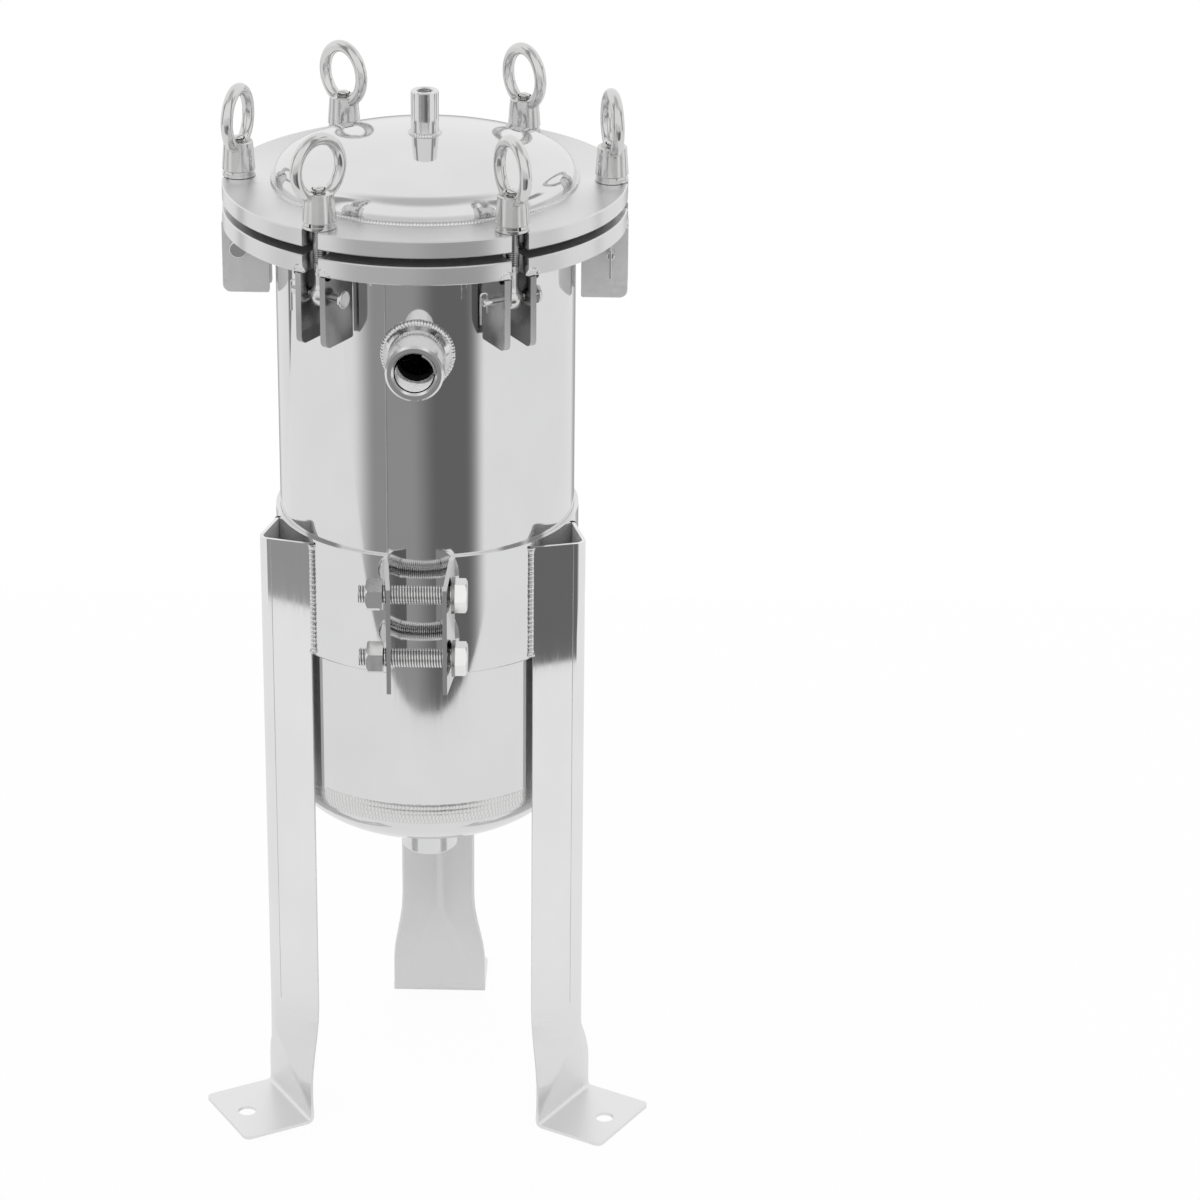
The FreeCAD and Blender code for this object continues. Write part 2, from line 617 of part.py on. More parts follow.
def clamp_band():
    """The split band with its two ears, drilled for the clamp bolts."""
    height = BAND_TOP_Z - BAND_BOTTOM_Z
    band = ring(BAND_OUT_R, BAND_IN_R, BAND_BOTTOM_Z, height)
    gap = Part.makeBox(SPLIT_ROOT * 2, BAND_OUT_R, height + CUT_MARGIN * 2,
                       Vector(-SPLIT_ROOT, -BAND_OUT_R * 1.1, BAND_BOTTOM_Z - CUT_MARGIN))
    band = band.cut(gap).fuse([clamp_ear(1), clamp_ear(-1)])
    band = band.cut(disc(BAND_IN_R, BAND_BOTTOM_Z - CUT_MARGIN, height + CUT_MARGIN * 2))
    over = BAND_TOP_Z + CUT_MARGIN
    beyond = CLAMP_EAR_REACH + CUT_MARGIN
    low = Vector(-BODY_R, -BAND_OUT_R, over)
    tip = Vector(-BODY_R, -beyond, BAND_TOP_Z - CLAMP_EAR_SLOPE)
    far = Vector(-BODY_R, -beyond, over)
    wedge = Part.Face(Part.makePolygon([low, tip, far, low])).extrude(Vector(BODY_R * 2, 0, 0))
    cutters = [wedge]
    for z in CLAMP_BOLT_Z:
        cutters.append(Part.makeCylinder(CLAMP_HOLE_R, BODY_R, Vector(-BODY_R / 2, -CLAMP_BOLT_REACH, z),
                                         Vector(1, 0, 0)))
    return band.cut(cutters).removeSplitter()


def hexagon(flats, thick, x, z):
    """A hexagonal block across the split, with its corners turned off."""
    corner_r = flats / 2 / math.cos(math.pi / 6)
    corners = [Vector(x, -CLAMP_BOLT_REACH + corner_r * math.cos(math.radians(60 * k + 30)),
                      z + corner_r * math.sin(math.radians(60 * k + 30))) for k in range(7)]
    block = Part.Face(Part.makePolygon(corners)).extrude(Vector(thick, 0, 0))
    centre = Vector(x, -CLAMP_BOLT_REACH, z)
    round_r = flats / 2 + CLAMP_CORNER_CUT
    slope = thick + corner_r - round_r
    cone = Part.makeCone(round_r + slope, round_r, slope, centre + Vector(thick - slope, 0, 0),
                         Vector(1, 0, 0))
    return block.common(cone)


def clamp_bolts():
    bolts = []
    for z in CLAMP_BOLT_Z:
        head = hexagon(CLAMP_NUT_FLATS, CLAMP_HEAD_THICK, CLAMP_HEAD_X, z)
        start = Vector(CLAMP_HEAD_X, -CLAMP_BOLT_REACH, z)
        straight = CLAMP_BOLT_LENGTH - CLAMP_TIP_CHAMFER
        shank = Part.makeCylinder(CLAMP_BOLT_R, straight, start, Vector(-1, 0, 0))
        tip = Part.makeCone(CLAMP_BOLT_R, CLAMP_BOLT_R - CLAMP_TIP_CHAMFER, CLAMP_TIP_CHAMFER,
                            start - Vector(straight, 0, 0), Vector(-1, 0, 0))
        bolts.append(head.fuse([shank, tip]).removeSplitter())
    return Part.makeCompound(bolts)


def clamp_nuts():
    nuts = []
    for z in CLAMP_BOLT_Z:
        nut = hexagon(CLAMP_NUT_FLATS, CLAMP_NUT_THICK, CLAMP_BEARING_X, z)
        nut.rotate(Vector(0, -CLAMP_BOLT_REACH, z), UP, 180)
        bore = Part.makeCylinder(CLAMP_BOLT_R + NUT_FIT, BODY_R, Vector(-BODY_R, -CLAMP_BOLT_REACH, z),
                                 Vector(1, 0, 0))
        nuts.append(nut.cut(bore))
    return Part.makeCompound(nuts)


def clamp_washers():
    washers = []
    for z in CLAMP_BOLT_Z:
        start = Vector(CLAMP_BEARING_X, -CLAMP_BOLT_REACH, z)
        plate = Part.makeCylinder(CLAMP_WASHER_R, CLAMP_WASHER_THICK, start, Vector(1, 0, 0))
        bore = Part.makeCylinder(CLAMP_HOLE_R, CLAMP_WASHER_THICK, start, Vector(1, 0, 0))
        washers.append(plate.cut(bore))
    return Part.makeCompound(washers)


# Legs, made at angle 0 with +X pointing outwards
def leg_section(z, crease_r, ridge, edge):
    """Outline of the bent sheet at one height.

    Its outer side runs from a free edge to a crease, straight across to the other
    crease and on to the other free edge. ridge and edge are the places, as (x, y) on
    the +Y side, of the sharp corner that the crease rounds off and of the free edge.
    """
    turn = math.atan2(ridge[0] - edge[0], edge[1] - ridge[1])
    setback = crease_r * math.tan(turn / 2)
    centre = Vector(ridge[0] - crease_r, ridge[1] - setback, z)

    def on_crease(radius, angle):
        return centre + Vector(radius * math.cos(angle), radius * math.sin(angle), 0)

    tip = Vector(edge[0], edge[1], z)
    outside = [tip] + [on_crease(crease_r, angle) for angle in (turn, turn / 2, 0)]
    inner_r = crease_r - LEG_SHEET
    under = Vector(LEG_SHEET * math.cos(turn), LEG_SHEET * math.sin(turn), 0)
    inside = [tip - under] + [on_crease(inner_r, angle) for angle in (turn, turn / 2, 0)]
    left = sheet_side(outside)
    right = sheet_side([flipped(point) for point in outside])
    inner_left = sheet_side(inside)
    inner_right = sheet_side([flipped(point) for point in inside])
    joins = [Part.makeLine(outside[-1], flipped(outside[-1])),
             Part.makeLine(inside[-1], flipped(inside[-1])),
             Part.makeLine(tip, inside[0]),
             Part.makeLine(flipped(tip), flipped(inside[0]))]
    edges = left + right + inner_left + inner_right + joins
    return Part.Wire(Part.__sortEdges__(edges))


def sheet_side(points):
    """A straight face from the free edge, then the arc of a crease."""
    edge, first, middle, last = points
    return [Part.makeLine(edge, first), arc_between(first, middle, last)]


def flipped(point):
    return Vector(point.x, -point.y, point.z)


def leg_corners():
    """Where the crease corner and the free edge stand when the sheet rests on the band."""
    turn = math.radians(90 - LEG_FACE_DEG)
    touch_y = LEG_HALF_WIDTH - LEG_SHEET * math.sin(turn)
    edge_x = math.sqrt(LEG_INNER_R ** 2 - touch_y ** 2) + LEG_SHEET * math.cos(turn)
    ridge_y = LEG_NOSE_FLAT / 2 + (LEG_NOSE_IN_R + LEG_SHEET) * math.tan(turn / 2)
    ridge_x = edge_x + (LEG_HALF_WIDTH - ridge_y) * math.tan(turn)
    return (ridge_x, ridge_y), (edge_x, LEG_HALF_WIDTH)


def between(start, end, part):
    return start + (end - start) * part


def leg_heights():
    heights = [between(LEG_SPREAD_TOP_Z, LEG_NOSE_END_Z, step / LEG_SPREAD_STEPS)
               for step in range(LEG_SPREAD_STEPS)]
    return heights + [between(LEG_NOSE_END_Z, LEG_FLAT_Z, step / LEG_FLARE_STEPS)
                      for step in range(LEG_FLARE_STEPS + 1)]


def leg():
    """A V of sheet whose nose parts into two creases, which leave it flat at the foot."""
    ridge, edge = leg_corners()
    nose_r = LEG_NOSE_IN_R + LEG_SHEET
    flat_x = FOOT_FACE_R + LEG_SHEET
    upper = Part.Face(leg_section(LEG_SPREAD_TOP_Z, nose_r, ridge, edge))
    upper = upper.extrude(Vector(0, 0, LEG_TOP_Z - LEG_SPREAD_TOP_Z))
    sections = []
    for z in leg_heights():
        spread = min(1.0, (LEG_SPREAD_TOP_Z - z) / (LEG_SPREAD_TOP_Z - LEG_SPREAD_END_Z))
        ease = spread * spread * (3 - 2 * spread)
        opened = max(0.0, (LEG_NOSE_END_Z - z) / (LEG_NOSE_END_Z - LEG_FLAT_Z))
        here_edge = (between(edge[0], flat_x - LEG_FLAT_HOLLOW, ease),
                     between(edge[1], FOOT_HALF_WIDTH, ease))
        here_ridge = (between(ridge[0], flat_x, opened),
                      between(ridge[1], FOOT_HALF_WIDTH - LEG_CREASE_MARGIN, opened))
        crease_r = between(nose_r, LEG_CREASE_END_R, opened)
        sections.append(leg_section(z, crease_r, here_ridge, here_edge))
    flare = Part.makeLoft(sections, True, True)
    return upper.fuse([flare, foot()]).removeSplitter()


def foot():
    """The flat end of the leg and the foot plate, as one bent strip."""
    inner = FOOT_FACE_R
    bend_out = FOOT_BEND_IN_R + LEG_SHEET
    quarter = math.radians(45)
    top = LEG_FLAT_Z
    centre = Vector(inner + bend_out, 0, bend_out)

    def on_bend(radius):
        return centre - Vector(radius * math.cos(quarter), 0, radius * math.sin(quarter))

    edges = [
        Part.makeLine(Vector(inner, 0, top), Vector(inner, 0, bend_out)),
        arc_between(Vector(inner, 0, bend_out), on_bend(bend_out), Vector(inner + bend_out, 0, 0)),
        Part.makeLine(Vector(inner + bend_out, 0, 0), Vector(FOOT_REACH, 0, 0)),
        Part.makeLine(Vector(FOOT_REACH, 0, 0), Vector(FOOT_REACH, 0, LEG_SHEET)),
        Part.makeLine(Vector(FOOT_REACH, 0, LEG_SHEET), Vector(inner + bend_out, 0, LEG_SHEET)),
        arc_between(Vector(inner + bend_out, 0, LEG_SHEET), on_bend(FOOT_BEND_IN_R),
                    Vector(inner + LEG_SHEET, 0, bend_out)),
        Part.makeLine(Vector(inner + LEG_SHEET, 0, bend_out), Vector(inner + LEG_SHEET, 0, top)),
        Part.makeLine(Vector(inner + LEG_SHEET, 0, top), Vector(inner, 0, top)),
    ]
    strip = Part.Face(Part.Wire(edges)).extrude(Vector(0, FOOT_HALF_WIDTH * 2, 0))
    strip.translate(Vector(0, -FOOT_HALF_WIDTH, 0))
    corners = []
    for edge in strip.Edges:
        box = edge.BoundBox
        upright = box.XLength < SAME and box.YLength < SAME
        if upright and abs(box.XMin - FOOT_REACH) < SAME:
            corners.append(edge)
    strip = strip.makeFillet(FOOT_CORNER_R, corners)
    hole_x = FOOT_REACH - FOOT_HOLE_INSET
    hole = Part.makeCylinder(FOOT_HOLE_R, LEG_SHEET * 3, Vector(hole_x, 0, -LEG_SHEET), UP)
    return strip.cut(hole)


def build():
    os.makedirs("parts", exist_ok=True)
    save("body_shell", body_shell())
    save("bottom_head", bottom_head())
    save("body_flange", body_flange())
    save("inlet_coupling", inlet_coupling())
    save("outlet_coupling", outlet_coupling())
    save("basket_seat_ring", basket_seat_ring())
    save("filter_basket", filter_basket())
    save("basket_rim", basket_rim())
    save("basket_handle", basket_handle())
    save("bag_ring", bag_ring())
    save("filter_bag", filter_bag())
    save("flange_gasket", ring(GASKET_OUT_R, GASKET_IN_R, FLANGE_TOP_Z, GASKET_THICK))
    save("lid_plate", lid_plate())
    save("lid_dome", lid_dome())
    save("vent_pipe", vent_pipe())
    save("clamp_band", clamp_band())
    save("clamp_bolts", clamp_bolts())
    save("clamp_nuts", clamp_nuts())
    save("clamp_washers", clamp_washers())
    shape = leg()
    for name, angle in LEG_ANGLES.items():
        save(name, turned(shape, angle))
    closure = {"lug_pair": lug_pair(), "pivot_pin": pivot_pin(), "swing_bolt": swing_bolt(),
               "flat_washer": flat_washer(), "spring_washer": spring_washer()}
    clips = []
    for number in range(BOLT_COUNT):
        angle = bolt_angle(number)
        for name, piece in closure.items():
            save(name + "_" + str(number + 1), turned(piece, angle))
        nut = eye_nut(RING_TURN_DEG[number % len(RING_TURN_DEG)] - angle)
        save("eye_nut_" + str(number + 1), turned(nut, angle))
        clips.append(turned(hairpin_clip(), angle))
    save("hairpin_clips", Part.makeCompound(clips))


build()
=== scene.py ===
import json
import math

import bpy
from mathutils import Matrix, Vector, noise


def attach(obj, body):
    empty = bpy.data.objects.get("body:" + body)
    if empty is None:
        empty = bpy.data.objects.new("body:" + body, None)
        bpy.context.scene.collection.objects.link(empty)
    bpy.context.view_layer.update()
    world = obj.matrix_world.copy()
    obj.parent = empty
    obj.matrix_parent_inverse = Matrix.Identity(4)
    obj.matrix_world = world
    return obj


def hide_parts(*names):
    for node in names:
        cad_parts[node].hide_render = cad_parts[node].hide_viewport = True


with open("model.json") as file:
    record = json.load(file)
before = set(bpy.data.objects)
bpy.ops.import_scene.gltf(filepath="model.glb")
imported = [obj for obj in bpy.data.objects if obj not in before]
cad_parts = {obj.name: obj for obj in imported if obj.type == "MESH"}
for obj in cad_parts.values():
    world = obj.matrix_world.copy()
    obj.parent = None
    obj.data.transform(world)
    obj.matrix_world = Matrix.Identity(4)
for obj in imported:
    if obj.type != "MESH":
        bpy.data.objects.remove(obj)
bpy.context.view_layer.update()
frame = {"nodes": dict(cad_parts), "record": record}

# Sizes that the looks share with the solids, in metres and degrees
MM = 0.001
MICRON = 0.000001
BODY_R = 109.5 * MM
SEAM_Z = 283.0 * MM
SEAM_ANGLE = math.radians(-102.0)
HEAD_TANGENT_Z = 276.0 * MM
HEAD_DEPTH = 52.0 * MM
FLANGE_R = 147.0 * MM
FLANGE_BOTTOM_Z = 703.0 * MM
LID_TOP_Z = 735.2 * MM
DOME_R = 110.0 * MM

# Swing bolts, pins and the ears that hold them
BOLT_COUNT = 6
BOLT_CIRCLE_R = 135.0 * MM
PIN_Z = 685.0 * MM
PIN_R = 3.0 * MM
EYE_R = 8.0 * MM
EYE_HALF_WIDTH = 7.3 * MM
SHANK_R = 4.4 * MM
THREAD_R = 5.0 * MM
THREAD_ROOT_R = THREAD_R - 0.85 * MM
THREAD_Z = 709.0 * MM
THREAD_PITCH = 1.5 * MM
BOLT_TIP_Z = 765.3 * MM
BOLT_TIP_LENGTH = 2 * MM
EAR_HALF_GAP = 8.0 * MM
EAR_THICK = 4.6 * MM
EAR_IN_R = 113.6 * MM
EAR_OUT_R = 147.4 * MM

# Inlet, outlet and vent
PORT_OUT_R = 20.8 * MM
PORT_BORE_R = 14.6 * MM
PORT_PITCH = 2.2 * MM
INLET_Z = 638.5 * MM
INLET_REACH = 149.3 * MM
INLET_WELD_R = 25.0 * MM
# The inlet's thread keeps its steel colour to this depth; deeper turns are painted shade
INLET_BRIGHT_DEPTH = 24 * MM
INLET_THREAD_DEPTH = 36 * MM
OUTLET_MOUTH_Z = 197.0 * MM
OUTLET_WELD_Z = 225.2 * MM
OUTLET_THREAD_DEPTH = 24 * MM
VENT_OUT_R = 10.1 * MM
VENT_BORE_R = 5.9 * MM
VENT_PITCH = 1.4 * MM
VENT_WELD_Z = 769.4 * MM
VENT_THREAD_Z = (780 * MM, 799 * MM)

# Clamp band and its bolts
BAND_OUT_R = 112.8 * MM
BAND_BOTTOM_Z = 391.0 * MM
BAND_TOP_Z = 483.5 * MM
BAND_OPEN_DEG = 13.0
CLAMP_BOLT_R = 7.0 * MM
CLAMP_ROOT_R = CLAMP_BOLT_R - 1.15 * MM
CLAMP_BOLT_PITCH = 2.0 * MM
CLAMP_BOLT_REACH = 133.0 * MM
CLAMP_BOLT_Z = (413.8 * MM, 463.5 * MM)
CLAMP_BOLT_LENGTH = 70.0 * MM
CLAMP_HEAD_X = 27.3 * MM
CLAMP_HEAD_THICK = 8.8 * MM
CLAMP_FLATS = 22.0 * MM

# Legs
LEG_ANGLES = (210.0, 330.0, 90.0)
LEG_NODES = ("leg_left", "leg_right", "leg_rear")
LEG_TOP_Z = 480.0 * MM
LEG_HALF_WIDTH = 29.0 * MM
LEG_EDGE_X = 111.34 * MM
LEG_FACE_DEG = 45.5
LEG_SPREAD_TOP_Z = 95.0 * MM
BRAKE_LINE_INSET = 30.1 * MM
SATIN_FROM_Z = 160 * MM
SATIN_TO_Z = 50 * MM

# Filter bag
BAG_R = 83.3 * MM
BAG_TOP_Z = 605.7 * MM
BAG_BOTTOM_Z = 264.8 * MM
BAG_END_R = 20.0 * MM
BAG_WALL = 2.0 * MM
BAG_FOLDS = 11
BAG_FOLD_DEPTH = 2.2 * MM
BAG_DENT_DEPTH = 1.6 * MM
BAG_TOP_FADE = 60 * MM
BAG_END_FADE = 40 * MM
BAG_SEAM_HEIGHT = 0.5 * MM
BAG_SEAM_WIDTH = 0.045

# Edges that turn less than this many degrees are shaded smooth
FRAME_SMOOTH_DEG = 32
PIECE_SMOOTH_DEG = 40
BEAD_SMOOTH_DEG = 60


# Shader helpers
def node_material(name):
    mat = bpy.data.materials.new(name)
    mat.use_nodes = True
    nodes = mat.node_tree.nodes
    shader = nodes["Principled BSDF"]
    return mat, nodes, mat.node_tree.links, shader


def stretched_noise(nodes, links, scale, detail=3.0, roughness=0.55):
    """Noise in metres of the part's own frame, with a scale for each axis."""
    place = nodes.new("ShaderNodeTexCoord")
    mapping = nodes.new("ShaderNodeMapping")
    mapping.inputs["Scale"].default_value = scale
    texture = nodes.new("ShaderNodeTexNoise")
    texture.inputs["Scale"].default_value = 1.0
    texture.inputs["Detail"].default_value = detail
    texture.inputs["Roughness"].default_value = roughness
    links.new(place.outputs["Object"], mapping.inputs["Vector"])
    links.new(mapping.outputs["Vector"], texture.inputs["Vector"])
    return texture.outputs["Fac"]


def radial_noise(nodes, links, scale):
    """Noise that changes with the distance from the Z axis only, as on a turned face."""
    place = nodes.new("ShaderNodeTexCoord")
    split = nodes.new("ShaderNodeSeparateXYZ")
    links.new(place.outputs["Object"], split.inputs[0])
    flat = nodes.new("ShaderNodeCombineXYZ")
    links.new(split.outputs["X"], flat.inputs["X"])
    links.new(split.outputs["Y"], flat.inputs["Y"])
    length = nodes.new("ShaderNodeVectorMath")
    length.operation = "LENGTH"
    links.new(flat.outputs[0], length.inputs[0])
    texture = nodes.new("ShaderNodeTexNoise")
    texture.noise_dimensions = "1D"
    texture.inputs["Scale"].default_value = scale
    texture.inputs["Detail"].default_value = 2.0
    links.new(length.outputs["Value"], texture.inputs["W"])
    return texture.outputs["Fac"]


NOISE_SPAN = (0.3, 0.7)


def ranged(nodes, links, source, low, high):
    """Spreads the usual span of a noise over low to high."""
    node = nodes.new("ShaderNodeMapRange")
    node.inputs["From Min"].default_value = NOISE_SPAN[0]
    node.inputs["From Max"].default_value = NOISE_SPAN[1]
    node.inputs["To Min"].default_value = low
    node.inputs["To Max"].default_value = high
    links.new(source, node.inputs["Value"])
    return node.outputs["Result"]


def blended(nodes, links, source, first, second):
    """Mixes a colour or another node's colour with a second colour."""
    node = nodes.new("ShaderNodeMix")
    node.data_type = "RGBA"
    if isinstance(first, tuple):
        node.inputs["A"].default_value = (*first, 1)
    else:
        links.new(first, node.inputs["A"])
    node.inputs["B"].default_value = (*second, 1)
    links.new(source, node.inputs["Factor"])
    return node.outputs["Result"]


def bumped(nodes, links, shader, source, depth):
    """Raises the surface by a source, by up to depth micrometres."""
    bump = nodes.new("ShaderNodeBump")
    bump.inputs["Distance"].default_value = depth * MICRON
    bump.inputs["Strength"].default_value = 1.0
    links.new(source, bump.inputs["Height"])
    links.new(bump.outputs["Normal"], shader.inputs["Normal"])


def math_node(nodes, links, operation, *values):
    """A maths node on numbers or other nodes' values."""
    node = nodes.new("ShaderNodeMath")
    node.operation = operation
    for socket, value in zip(node.inputs, values):
        if isinstance(value, (int, float)):
            socket.default_value = value
        else:
            links.new(value, socket)
    return node.outputs[0]


def smooth_step(nodes, links, value, low, high):
    node = nodes.new("ShaderNodeMapRange")
    node.interpolation_type = "SMOOTHSTEP"
    node.inputs["From Min"].default_value = low
    node.inputs["From Max"].default_value = high
    links.new(value, node.inputs["Value"])
    return node.outputs["Result"]


def band_mask(nodes, links, value, span, soft):
    """1 where the value is within the span and 0 outside it, with soft ends."""
    low = smooth_step(nodes, links, value, span[0] - soft[0] / 2, span[0] + soft[0] / 2)
    high = smooth_step(nodes, links, value, span[1] - soft[1] / 2, span[1] + soft[1] / 2)
    return math_node(nodes, links, "SUBTRACT", low, high)


def mixed_level(nodes, links, level, mask, brightness):
    """Goes from a level, a number or a node's value, to a brightness where the mask is 1."""
    node = nodes.new("ShaderNodeMix")
    node.data_type = "FLOAT"
    links.new(mask, node.inputs["Factor"])
    if isinstance(level, (int, float)):
        node.inputs["A"].default_value = level
    else:
        links.new(level, node.inputs["A"])
    node.inputs["B"].default_value = brightness
    return node.outputs["Result"]


# Materials
TURNED_ANISOTROPY = 0.85
TURNED_CHANGE = 1.07
DRAWN_CHANGE = 1.25


def steel(name, colour, roughness, grain, depth, spread=0.02, turned=0.0):
    """Stainless steel: grain is the noise scale on each axis, depth its bump in micrometres,
    spread the share by which the tone changes, turned the scale of a turned face's rings."""
    mat, nodes, links, shader = node_material(name)
    shader.inputs["Metallic"].default_value = 1.0
    if turned:
        rings = nodes.new("ShaderNodeTangent")
        rings.direction_type = "RADIAL"
        rings.axis = "Z"
        links.new(rings.outputs[0], shader.inputs["Tangent"])
        shader.inputs["Anisotropic"].default_value = TURNED_ANISOTROPY
        shader.inputs["Anisotropic Rotation"].default_value = 0.25
    patches = stretched_noise(nodes, links, (18, 18, 14), 2.0)
    tone = ranged(nodes, links, patches, 0.0, 1.0)
    dark = tuple(c * (1 - spread) for c in colour)
    light = tuple(min(1, c * (1 + spread)) for c in colour)
    links.new(blended(nodes, links, tone, dark, light), shader.inputs["Base Color"])
    if turned:
        fine = radial_noise(nodes, links, turned)
        change = TURNED_CHANGE
    else:
        fine = stretched_noise(nodes, links, grain, 2.0)
        change = DRAWN_CHANGE
    sheen = ranged(nodes, links, fine, roughness / change, roughness * change)
    links.new(sheen, shader.inputs["Roughness"])
    bumped(nodes, links, shader, fine, depth)
    return mat


def rubber(name):
    mat, nodes, links, shader = node_material(name)
    grain = stretched_noise(nodes, links, (900, 900, 900), 2.0)
    tone = ranged(nodes, links, grain, 0.0, 1.0)
    black = blended(nodes, links, tone, (0.012, 0.012, 0.013), (0.024, 0.024, 0.025))
    links.new(black, shader.inputs["Base Color"])
    shader.inputs["Roughness"].default_value = 0.62
    bumped(nodes, links, shader, grain, 80)
    return mat


def felt(name):
    mat, nodes, links, shader = node_material(name)
    fibres = stretched_noise(nodes, links, (1400, 1400, 500), 5.0, 0.7)
    tone = ranged(nodes, links, fibres, 0.0, 1.0)
    cream = blended(nodes, links, tone, (0.70, 0.69, 0.65), (0.86, 0.85, 0.82))
    links.new(cream, shader.inputs["Base Color"])
    shader.inputs["Roughness"].default_value = 0.95
    shader.inputs["Sheen Weight"].default_value = 0.35
    shader.inputs["Sheen Roughness"].default_value = 0.5
    bumped(nodes, links, shader, fibres, 400)
    return mat


STEEL = (0.79, 0.79, 0.795)
MATERIALS = {
    "polished_steel": steel("polished steel", STEEL, 0.06, (500, 500, 9), 0.4),
    "turned_steel": steel("turned steel", STEEL, 0.3, None, 0.15, turned=900.0),
    "sheet_steel": steel("bright sheet steel", STEEL, 0.045, (600, 600, 12), 0.3),
    "fastener_steel": steel("bright fastener steel", (0.71, 0.707, 0.703), 0.11, (260, 260, 260), 8,
                            spread=0.05),
    "dark_steel": steel("dark washer steel", (0.36, 0.35, 0.34), 0.3, (300, 300, 300), 10, spread=0.08),
    "inner_steel": steel("plain inner steel", (0.66, 0.66, 0.67), 0.28, (300, 300, 60), 8, spread=0.05),
    "gasket_rubber": rubber("gasket rubber"),
    "bag_felt": felt("bag felt"),
}
# Painted shade: a dark colour for the hollows between thread crests and for the inside of the outlet's
# bore
THREAD_ROOT_SHADE = steel("thread root painted shade", (0.24, 0.24, 0.24), 0.4, (500, 500, 500), 10, spread=0.1)
CLAMP_STEEL = steel("bright clamp bolt steel", (0.9, 0.9, 0.895), 0.16, (260, 260, 260), 8, spread=0.05)
COUPLING = steel("machined coupling steel", STEEL, 0.13, (400, 400, 400), 3)
SATIN = steel("satin ear steel", (0.9, 0.9, 0.905), 0.5, (300, 300, 300), 6, spread=0.05)
# Painted dark reflection: a darker, mottled copy of the ear steel for the two front pairs of ears
FRONT_EAR_PAINTED_REFLECTION = steel("front ear steel with painted dark reflection", (0.43, 0.43, 0.43), 0.2, (90, 90, 60), 40, spread=0.25)
# Darker steel for the planished body seam and the brake lines; along the clamp band's lower edge it is
# painted shadow
SEAM_MARK_AND_EDGE_SHADE = steel("planished seam steel and painted edge shade", (0.62, 0.62, 0.62), 0.22, (500, 500, 60), 4, spread=0.1)


def bore_dark():
    """The unlit inside of a port, behind its mouth."""
    mat, _, _, shader = node_material("dark port bore")
    shader.inputs["Base Color"].default_value = (0.02, 0.02, 0.02, 1)
    shader.inputs["Roughness"].default_value = 0.7
    shader.inputs["Specular IOR Level"].default_value = 0.2
    return mat


def weld_steel():
    """Weld metal with painted shade in the lines between its ripples, which the bead's mesh carries."""
    mat, nodes, links, shader = node_material("weld bead steel")
    ripple = nodes.new("ShaderNodeAttribute")
    ripple.attribute_name = "ripple"
    tone = blended(nodes, links, ripple.outputs["Fac"], (0.3, 0.3, 0.3), (0.79, 0.79, 0.785))
    links.new(tone, shader.inputs["Base Color"])
    shader.inputs["Metallic"].default_value = 1.0
    grain = stretched_noise(nodes, links, (500, 500, 500), 2.0)
    links.new(ranged(nodes, links, grain, 0.16, 0.26), shader.inputs["Roughness"])
    bumped(nodes, links, shader, grain, 20)
    return mat


WELD = weld_steel()
BORE_DARK = bore_dark()

# A leg's faces are inside its fold where their normal points this much towards the axis
FOLD_FACING = (-0.05, -0.3)


def leg_steel(name, angle):
    """Bright outside down to the flare, satin at the foot, and a matt mill finish inside the fold."""
    mat, nodes, links, shader = node_material(name + " steel")
    normal = nodes.new("ShaderNodeNewGeometry")
    facing = nodes.new("ShaderNodeVectorMath")
    facing.operation = "DOT_PRODUCT"
    facing.inputs[1].default_value = (math.cos(math.radians(angle)), math.sin(math.radians(angle)), 0)
    links.new(normal.outputs["Normal"], facing.inputs[0])
    inside = smooth_step(nodes, links, facing.outputs["Value"], *FOLD_FACING)
    place = nodes.new("ShaderNodeTexCoord")
    split = nodes.new("ShaderNodeSeparateXYZ")
    links.new(place.outputs["Object"], split.inputs[0])
    foot = smooth_step(nodes, links, split.outputs["Z"], SATIN_FROM_Z, SATIN_TO_Z)
    patches = stretched_noise(nodes, links, (30, 30, 14), 2.0)
    tone = ranged(nodes, links, patches, 0.0, 1.0)
    upper = blended(nodes, links, tone, (0.85, 0.85, 0.855), (0.88, 0.88, 0.885))
    links.new(blended(nodes, links, foot, upper, (0.86, 0.86, 0.86)), shader.inputs["Base Color"])
    grain = stretched_noise(nodes, links, (600, 600, 12), 2.0)
    bright = ranged(nodes, links, grain, 0.035, 0.055)
    satin = mixed_level(nodes, links, bright, foot, 0.34)
    links.new(mixed_level(nodes, links, satin, inside, 0.5), shader.inputs["Roughness"])
    links.new(mixed_level(nodes, links, 1.0, inside, 0.35), shader.inputs["Metallic"])
    bumped(nodes, links, shader, grain, 0.3)
    return mat


OWN_FINISH = {
    "inlet_coupling": COUPLING,
    "outlet_coupling": COUPLING,
    "lug_pair_1": SATIN,
    "lug_pair_4": SATIN,
    # The front ears get the darker copy, a painted dark reflection
    "lug_pair_5": FRONT_EAR_PAINTED_REFLECTION,
    "lug_pair_6": FRONT_EAR_PAINTED_REFLECTION,
    "clamp_nuts": CLAMP_STEEL,
}


def paint_frame():
    """Gives each solid its own finish, or that of its material slot in the record."""
    rows = frame["record"].get("subparts", [])
    slots = {row["node"]: row["material_slot"] for row in rows}
    finishes = {name: leg_steel(name, angle) for name, angle in zip(LEG_NODES, LEG_ANGLES)}
    finishes.update(OWN_FINISH)
    for name, obj in frame["nodes"].items():
        slot = slots.get(name, "sheet_steel")
        obj.data.materials.clear()
        obj.data.materials.append(finishes.get(name, MATERIALS[slot]))
        smooth_by_angle(obj.data, FRAME_SMOOTH_DEG)


